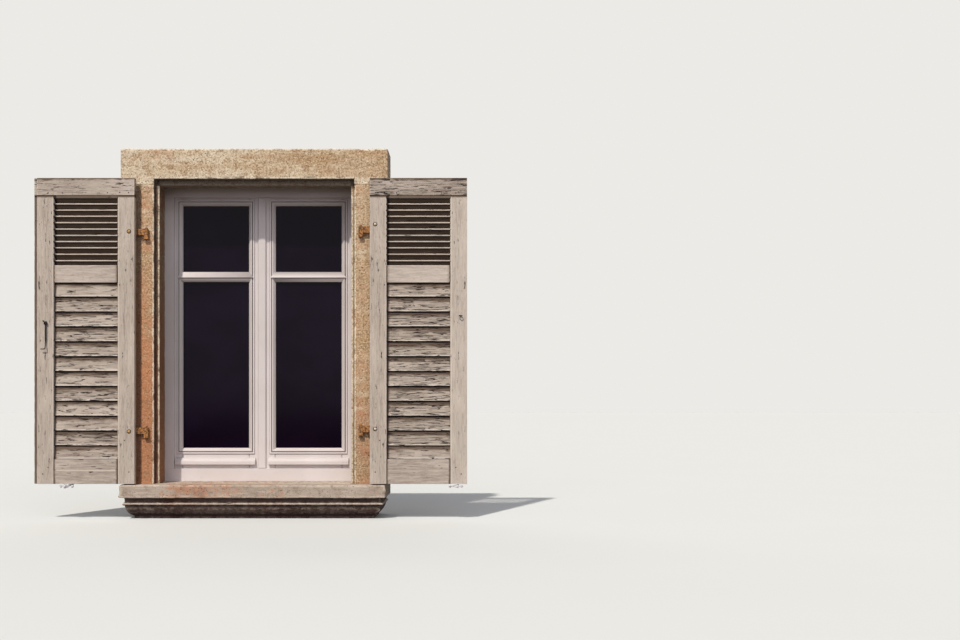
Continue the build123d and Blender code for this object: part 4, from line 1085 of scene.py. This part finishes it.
def lintel():
    """The lintel: its section carried along, with the rebate and soffit cut up into it between the jambs.

    Over the jambs the same points lie in a full section. The first and last rows of the cut
    follow the plan of the opening.
    """
    size = stones()
    soft = size.arris
    low, high = box("lintel")
    bed, rebate_top = low[2], low[2] + REBATE_RISE
    inner = span("jamb_right")[0]
    opening = inner + REBATE_WIDTH
    cut = [(0, rebate_top), (REBATE_DEPTH, rebate_top), (REBATE_DEPTH, bed), (high[1], bed + SOFFIT_RISE),
           (high[1], high[2]), (0, high[2])]
    outline = Outline(cut, [soft, 1 * MM, soft, 1 * MM, 1 * MM, soft], size.step, reach=14 * MM)
    y, z = outline.points.T
    under = z < rebate_top + 0.5 * MM
    blend = 40 * MM
    lowered = bed + (z - bed - REBATE_RISE) * (REBATE_RISE + blend) / blend
    solid_z = np.where((y < REBATE_DEPTH / 2) & (z < rebate_top + blend), lowered, z)
    solid_z = np.where(under & (y > soft + 0.1 * MM), bed, solid_z)
    splayed = inner + REVEAL_SPLAY * (y - REBATE_DEPTH) / (high[1] - REBATE_DEPTH)
    rim = np.where(under & (y > REBATE_DEPTH - 1 * MM), splayed, opening)
    along = stations(-high[0], high[0], size.step, 2 * MM)[0]
    middle = along[np.abs(along) < opening - size.step] / (opening - size.step)
    left = along[along < -opening - size.step, None] + 0 * rim
    right = along[along > opening + size.step, None] + 0 * rim
    x = np.concatenate([left, -rim[None], np.concatenate([[-1], middle, [1]])[:, None] * rim, rim[None], right])
    row = np.arange(len(x))[:, None]
    is_cut = (row > len(left)) & (row < len(x) - len(right) - 1)
    grid = xyz(x, y, np.where(is_cut, z, solid_z))
    outward = xyz(np.zeros_like(x), *outline.normals.T)
    worn = np.where(is_cut | ~under, outline.worn, 0)
    grid = hew(grid, outward, worn, 43)
    grain = chart(x[:, 0], outline.girth)
    x, y, z = np.moveaxis(grid, -1, 0)
    # Painted shade on the rebate and the soffit over the opening, darkest in the rebate and at the back of the
    # soffit
    sheltered = (np.abs(x) < opening + 1 * MM) & (y > 3 * MM) & (z < rebate_top + 1 * MM)
    soffit = 0.55 + 0.4 * ramp(y, 220 * MM, 232 * MM)
    dirt = np.where(sheltered, np.where(y < REBATE_DEPTH + 3 * MM, 0.85, soffit), 0)
    surface = Surface()
    surface.add(grid, grain, worn, dirt)
    stone = finish("lintel_stone", sandstone_finish, colours(), lambda x, z: 0.22 - 0.10 * x,
                   lambda x, z: 0.24 - 0.22 * x + 0.6 * z.smooth(1.796, 1.785))
    surface.build("lintel_stone", stone, "surround", ["lintel"])


def sill():
    """The sill: its moulding carried round the front and both ends, mitred at the corners.

    The section is given by depth and height, with the radius of each corner, in millimetres.
    """
    size = stones()
    low, high = box("sill")
    half, front, back, height = high[0], low[1], high[1], high[2]
    section = ((0, 110, 5), (22, 110, 1), (22, 84, 1), (17, 84, 1), (10, 77, 4), (17, 70, 1), (22, 70, 1),
               (26, 52, 8), (38, 28, 10), (62, 14, 2), (62, 0, 3), (100, 0, 0))
    corners = [(60 * MM, height), (0, height - 2 * MM)] + [(d * MM, h * MM) for d, h, _ in section]
    radii = [0, 9 * MM] + [radius * MM for _, _, radius in section]
    profile = Outline(corners, radii, size.step, reach=13 * MM)
    # The way back under the stone, from the deepest point on, isn't carried round
    kept = int(np.argmax(profile.points[:, 0])) + 1
    depth, rise = profile.points[:kept].T
    normal_in, normal_up = profile.normals[:kept].T
    side_run = np.linspace(back, front, int((back - front) / size.step))
    front_run = np.linspace(-half, half, int(2 * half / size.step))
    left_x = np.full_like(side_run, -half)
    path_x = np.concatenate([left_x[:-1], front_run, -left_x[1:]])[:, None]
    path_y = np.concatenate([side_run[:-1], np.full_like(front_run, front), side_run[::-1][1:]])[:, None]
    inward_x = -np.sign(path_x) * (np.abs(path_x) > half - 1e-6)
    inward_y = 1.0 * (np.abs(path_y - front) < 1e-6)
    limit = half - depth
    x = np.clip(path_x + inward_x * depth, -limit, limit)
    y = np.maximum(path_y + inward_y * depth, front + depth)
    corner = 14 * MM
    rounded = np.exp(-(np.hypot(half - np.abs(x) - depth, y - front - depth) / corner) ** 2)
    pull = corner * 0.3 * rounded
    grid = xyz(x - np.sign(x) * pull, np.minimum(y + pull, back), rise)
    outward = xyz(-inward_x * normal_in, -inward_y * normal_in, normal_up)
    worn = np.maximum(profile.worn[:kept], rounded)
    at_back = (grid[..., 1] > back - 1 * MM)[..., None]
    grid = np.where(at_back, grid, hew(grid, outward, worn, 53))
    girth = np.concatenate([[0], np.cumsum(np.hypot(np.diff(depth), np.diff(rise)))])
    grain = chart(np.arange(len(path_x)) * size.step, np.append(girth, girth[-1]))
    # Painted shade on the moulding below the front face, lifted on the sunlit top of the bead
    lit_bead_top = ramp(rise, 74 * MM, 79 * MM) * ramp(22 * MM - depth, 0, 3 * MM)
    dirt = np.broadcast_to(ramp(-rise, -111 * MM, -107 * MM) * (1 - 0.75 * lit_bead_top), x.shape)
    surface = Surface()
    surface.add(grid[:, ::-1], grain, worn[:, ::-1], dirt[:, ::-1], ring=False, caps=False)
    rows, columns = x.shape
    bottom = np.arange(rows) * columns
    top = bottom + columns - 1
    first = np.arange(columns)
    for face in (top[::-1], bottom, np.concatenate([first[::-1], bottom[-1] + first])):
        surface.faces.append(face.tolist())
        surface.flat.append(True)
        surface.maps.append(np.zeros((len(face), 2)))
    surface.build("sill_stone", finish("sill_stone", sill_finish, colours()), "surround", ["sill"])


# Window

class SHUTTER_OT_window(bpy.types.Operator):
    """Window frame, sashes, glass and handle"""

    bl_idname = "shutter.window"
    bl_label = "Window"

    def execute(self, context):
        white = finish("window_paint", window_finish, colours())
        coverings = {
            "window_wood": (white, context.scene.window_sizes.arris),
            "window_metal": (white,),
            "window_glass": (finish("window_glass", glass_finish),),
            "handle_metal": (iron("handle_metal"),),
        }
        for part in frame["record"]["subparts"]:
            if part["material_slot"] in coverings:
                dress(part["node"], *coverings[part["material_slot"]])
        for side in SIDES:
            glazing_cap(side, white)
            sash_moulding(side, white)
        return {"FINISHED"}


def flat_grid(surface, grid, dirt=0.0, **ends):
    """Adds a grid whose faces stay flat until their edges are softened."""
    before = len(surface.flat)
    surface.add(grid, np.zeros((grid.shape[0], grid.shape[1] + 1, 2)), dirt=dirt, **ends)
    surface.flat[before:] = [True] * (len(surface.flat) - before)


def glazing_cap(side, white):
    """The bar between the panes with its cap: a sloped face, a quirk and a lower bevel, pointed at both ends.

    The section (height, standing out) runs along x from one end to the other, and each end
    draws back by a share of the height above or below the nose.
    """
    low, high = box(f"{side}_sash_glazing_bar")
    front = box(f"{side}_sash_hinge_stile")[0][1]
    heel = front + 5 * MM
    section = np.array([(0, 1), (17, 11), (18, 4), (21, 4), (22, 15), (25, 15), (53.5, 4), (54, 1)]) * MM
    # Painted shade in the quirk
    quirk = np.array([0, 0, 1, 1, 0, 0, 0, 0])
    z = low[2] + section[:, 0]
    out = front - section[:, 1]
    nose = low[2] + 24 * MM
    drawn = 21 * MM * np.abs(z - nose) / (30 * MM)
    ends = (low[0] + drawn, high[0] - drawn)
    ring_y = np.concatenate([out, np.full_like(out, heel)])
    ring_z = np.concatenate([z, z[::-1]])
    surface = Surface()
    body = [xyz(np.concatenate([x, x[::-1]]), ring_y, ring_z) for x in ends]
    flat_grid(surface, np.stack(body), np.concatenate([quirk, quirk[::-1]]), caps=False)
    for x in ends:
        # Painted shade on the faces of the pointed ends
        flat_grid(surface, np.stack([xyz(x, out, z), xyz(x, heel, z)]), 0.8, ring=False, caps=False)
    core = [xyz(SIDES[side] * x, [heel, high[1], high[1], heel], [low[2], low[2], high[2], high[2]])
            for x in (span(f"{side}_sash_meeting_stile")[1], span(f"{side}_sash_hinge_stile")[0])]
    flat_grid(surface, np.stack(core))
    piece = surface.build(f"{side}_glazing_cap", white, f"sash_{side}",
                          [f"{side}_sash_glazing_bar"])
    soften(piece, MOULDING_EDGE)


def sash_moulding(side, white):
    """The stepped moulding round the panes, mitred: each point of its section runs round a larger rectangle."""
    left, right = sorted((span(f"{side}_sash_hinge_stile")[0], span(f"{side}_sash_meeting_stile")[1]))
    low = box(f"{side}_sash_bottom_rail")[1][2]
    high = box(f"{side}_sash_top_rail")[0][2]
    front = box(f"{side}_sash_hinge_stile")[0][1]
    wide, out = np.array([
        (4, -6), (4, 0), (13, 9), (18, 9), (19, 0.5), (22.5, 0.5), (23, 6), (31, 6), (33.5, 0.5), (33.5, -2)
    ]).T * MM
    # Painted shade in the groove and at the outer edge, and a little by the pane
    grooves = np.array([0.3, 0, 0, 0, 1, 1, 0, 0, 1, 1])
    corners = [(left - wide, low - wide), (right + wide, low - wide), (right + wide, high + wide),
               (left - wide, high + wide), (left - wide, low - wide)]
    rows = [xyz(SIDES[side] * x, front - out, z) for x, z in corners]
    surface = Surface()
    flat_grid(surface, np.stack(rows), grooves, caps=False)
    piece = surface.build(f"{side}_sash_moulding", white, f"sash_{side}")
    soften(piece, MOULDING_EDGE)


# Ironwork

class SHUTTER_OT_ironwork(bpy.types.Operator):
    """Pintles, hinges, bolts, hook, screw eye and catches"""

    bl_idname = "shutter.ironwork"
    bl_label = "Ironwork"

    def execute(self, context):
        rust = finish("hinge_rust", iron_finish, tuple(colours().rust), srgb(86, 56, 38))
        for side in SIDES:
            for node in (f"{side}_hinge_upper", f"{side}_hinge_lower", f"pintles_{side}"):
                dress(node, rust)
            dress(f"{side}_bolts", iron(f"{side}_bolt_rust"))
            dress(f"{side}_catch", iron("catch_zinc"))
            bolt_shadow_rings(side)
        dress("catch_spikes", iron("catch_zinc"))
        for node in ("left_hook", "left_hook_staple", "right_screw_eye"):
            dress(node, iron("hook_iron"))
        return {"FINISHED"}


def bolt_shadow_rings(side):
    """Thin dark rusted washers under the bolt heads, darkened all round to stand for the shadow at each head's
    edge: a small section turned round each bolt.
    """
    low, high = box(f"{side}_bolts")
    front = box(f"{side}_top_rail")[0][1]
    x = (low[0] + high[0]) / 2
    around = np.linspace(0, 2 * math.pi, 25)[:, None]
    radius = BOLT_RADIUS + np.array([-1.5, 2.6, 3, -1.5]) * MM
    out = np.array([1.0, 0.8, -0.5, -0.5]) * MM
    surface = Surface()
    for z in (low[2] + BOLT_RADIUS, high[2] - BOLT_RADIUS):
        grid = xyz(x + radius * np.cos(around), front - out, z + radius * np.sin(around))
        surface.add(grid, np.zeros((25, 5, 2)), caps=False)
    surface.build(f"{side}_bolt_shadow_rings", iron("nail_rust"), f"leaf_{side}")


# Stage

class SHUTTER_OT_stage(bpy.types.Operator):
    """Camera, lamps, sky and floor"""

    bl_idname = "shutter.stage"
    bl_label = "Stage"

    def execute(self, context):
        scene = context.scene
        stage = scene.stage_sizes
        lens = bpy.data.cameras.new("camera")
        lens.lens = 50
        lens.sensor_width = 36
        lens.shift_y = stage.horizon_drop
        camera = bpy.data.objects.new("camera", lens)
        camera.location = (stage.sideways, -stage.distance, stage.eye_height)
        camera.rotation_euler = (math.radians(90), 0, 0)
        scene.collection.objects.link(camera)
        scene.camera = camera
        sun("key", stage.lamp, stage.lamp_width, stage.lamp_run, (1.0, 0.94, 0.86))
        sun("front", stage.front, stage.soft_width, stage.front_run, (0.90, 0.89, 1.0))
        sun("rear", stage.rear, stage.soft_width, stage.rear_run, (1.0, 0.98, 0.96))
        sky(scene, stage.fill)
        ground()
        scene.view_settings.view_transform = "Standard"
        return {"FINISHED"}


def sun(name, strength, width, run, colour):
    """A lamp far away that shines one way and fills an angle."""
    lamp = bpy.data.lights.new(name, "SUN")
    lamp.energy = strength
    lamp.angle = width
    lamp.color = colour
    made = bpy.data.objects.new(name, lamp)
    made.rotation_mode = "QUATERNION"
    made.rotation_quaternion = Vector(run).to_track_quat("-Z", "Y")
    bpy.context.scene.collection.objects.link(made)


def sky(scene, strength):
    """Even light from all round. The camera, gloss and glass see a plain pale backdrop."""
    world = bpy.data.worlds.new("sky")
    scene.world = world
    world.use_nodes = True
    nodes = Nodes(world.node_tree)
    light, seen = (
        nodes.node("ShaderNodeBackground", {"Color": colour, "Strength": power})["Background"]
        for colour, power in (((0.95, 0.94, 1.0), strength), (srgb(236, 234, 230), 1.0))
    )
    path = nodes.node("ShaderNodeLightPath")
    is_seen = path["Is Camera Ray"].most(path["Is Glossy Ray"]).most(path["Is Transmission Ray"])
    mixed = nodes.node("ShaderNodeMixShader", {0: is_seen, 1: light, 2: seen})["Shader"]
    nodes.node("ShaderNodeOutputWorld", {"Surface": mixed})


def ground():
    """A pale floor at the foot of the sill."""
    reach = 60.0
    mesh = bpy.data.meshes.new("floor")
    corners = [(-reach, -reach, 0), (reach, -reach, 0), (reach, reach, 0), (-reach, reach, 0)]
    mesh.from_pydata(corners, [], [(0, 1, 2, 3)])
    f = Finish("floor")
    cloud = f.noise(f.place(), 1.2, detail=2)
    seen = f.node("ShaderNodeLightPath")["Is Camera Ray"]
    pale = f.blend(cloud, srgb(227, 230, 228), srgb(229, 232, 230))
    mesh.materials.append(f.end(f.blend(seen, srgb(104, 100, 98), pale), 0.95, 0.0))
    floor = bpy.data.objects.new("floor", mesh)
    bpy.context.scene.collection.objects.link(floor)


class SHUTTER_PT_panel(bpy.types.Panel):
    """Sizes and colours of the shutters, and a button for each group of pieces"""

    bl_label = "Window shutters"
    bl_space_type = "VIEW_3D"
    bl_region_type = "UI"
    bl_category = "Shutters"

    def draw(self, context):
        scene = context.scene
        for group in (scene.shutter_sizes, scene.stone_sizes, scene.window_sizes, scene.stage_sizes,
                      scene.finish_colours):
            column = self.layout.column(align=True)
            for name in group.__annotations__:
                column.prop(group, name)
        for operator in OPERATORS:
            self.layout.operator(operator.bl_idname)


GROUPS = {
    "shutter_sizes": ShutterSizes,
    "stone_sizes": StoneSizes,
    "window_sizes": WindowSizes,
    "stage_sizes": StageSizes,
    "finish_colours": FinishColours,
}
OPERATORS = (
    SHUTTER_OT_stage, SHUTTER_OT_frames, SHUTTER_OT_louvres, SHUTTER_OT_boards, SHUTTER_OT_nails,
    SHUTTER_OT_stones, SHUTTER_OT_window, SHUTTER_OT_ironwork,
)


def register():
    for cls in (*GROUPS.values(), *OPERATORS, SHUTTER_PT_panel):
        bpy.utils.register_class(cls)
    for name, cls in GROUPS.items():
        setattr(bpy.types.Scene, name, PointerProperty(type=cls))


def unregister():
    for name in GROUPS:
        delattr(bpy.types.Scene, name)
    for cls in reversed((*GROUPS.values(), *OPERATORS, SHUTTER_PT_panel)):
        bpy.utils.unregister_class(cls)


def main():
    register()
    bpy.ops.shutter.stage()
    bpy.ops.shutter.frames()
    bpy.ops.shutter.louvres()
    bpy.ops.shutter.boards()
    bpy.ops.shutter.nails()
    bpy.ops.shutter.stones()
    bpy.ops.shutter.window()
    bpy.ops.shutter.ironwork()


if __name__ == "__main__":
    main()
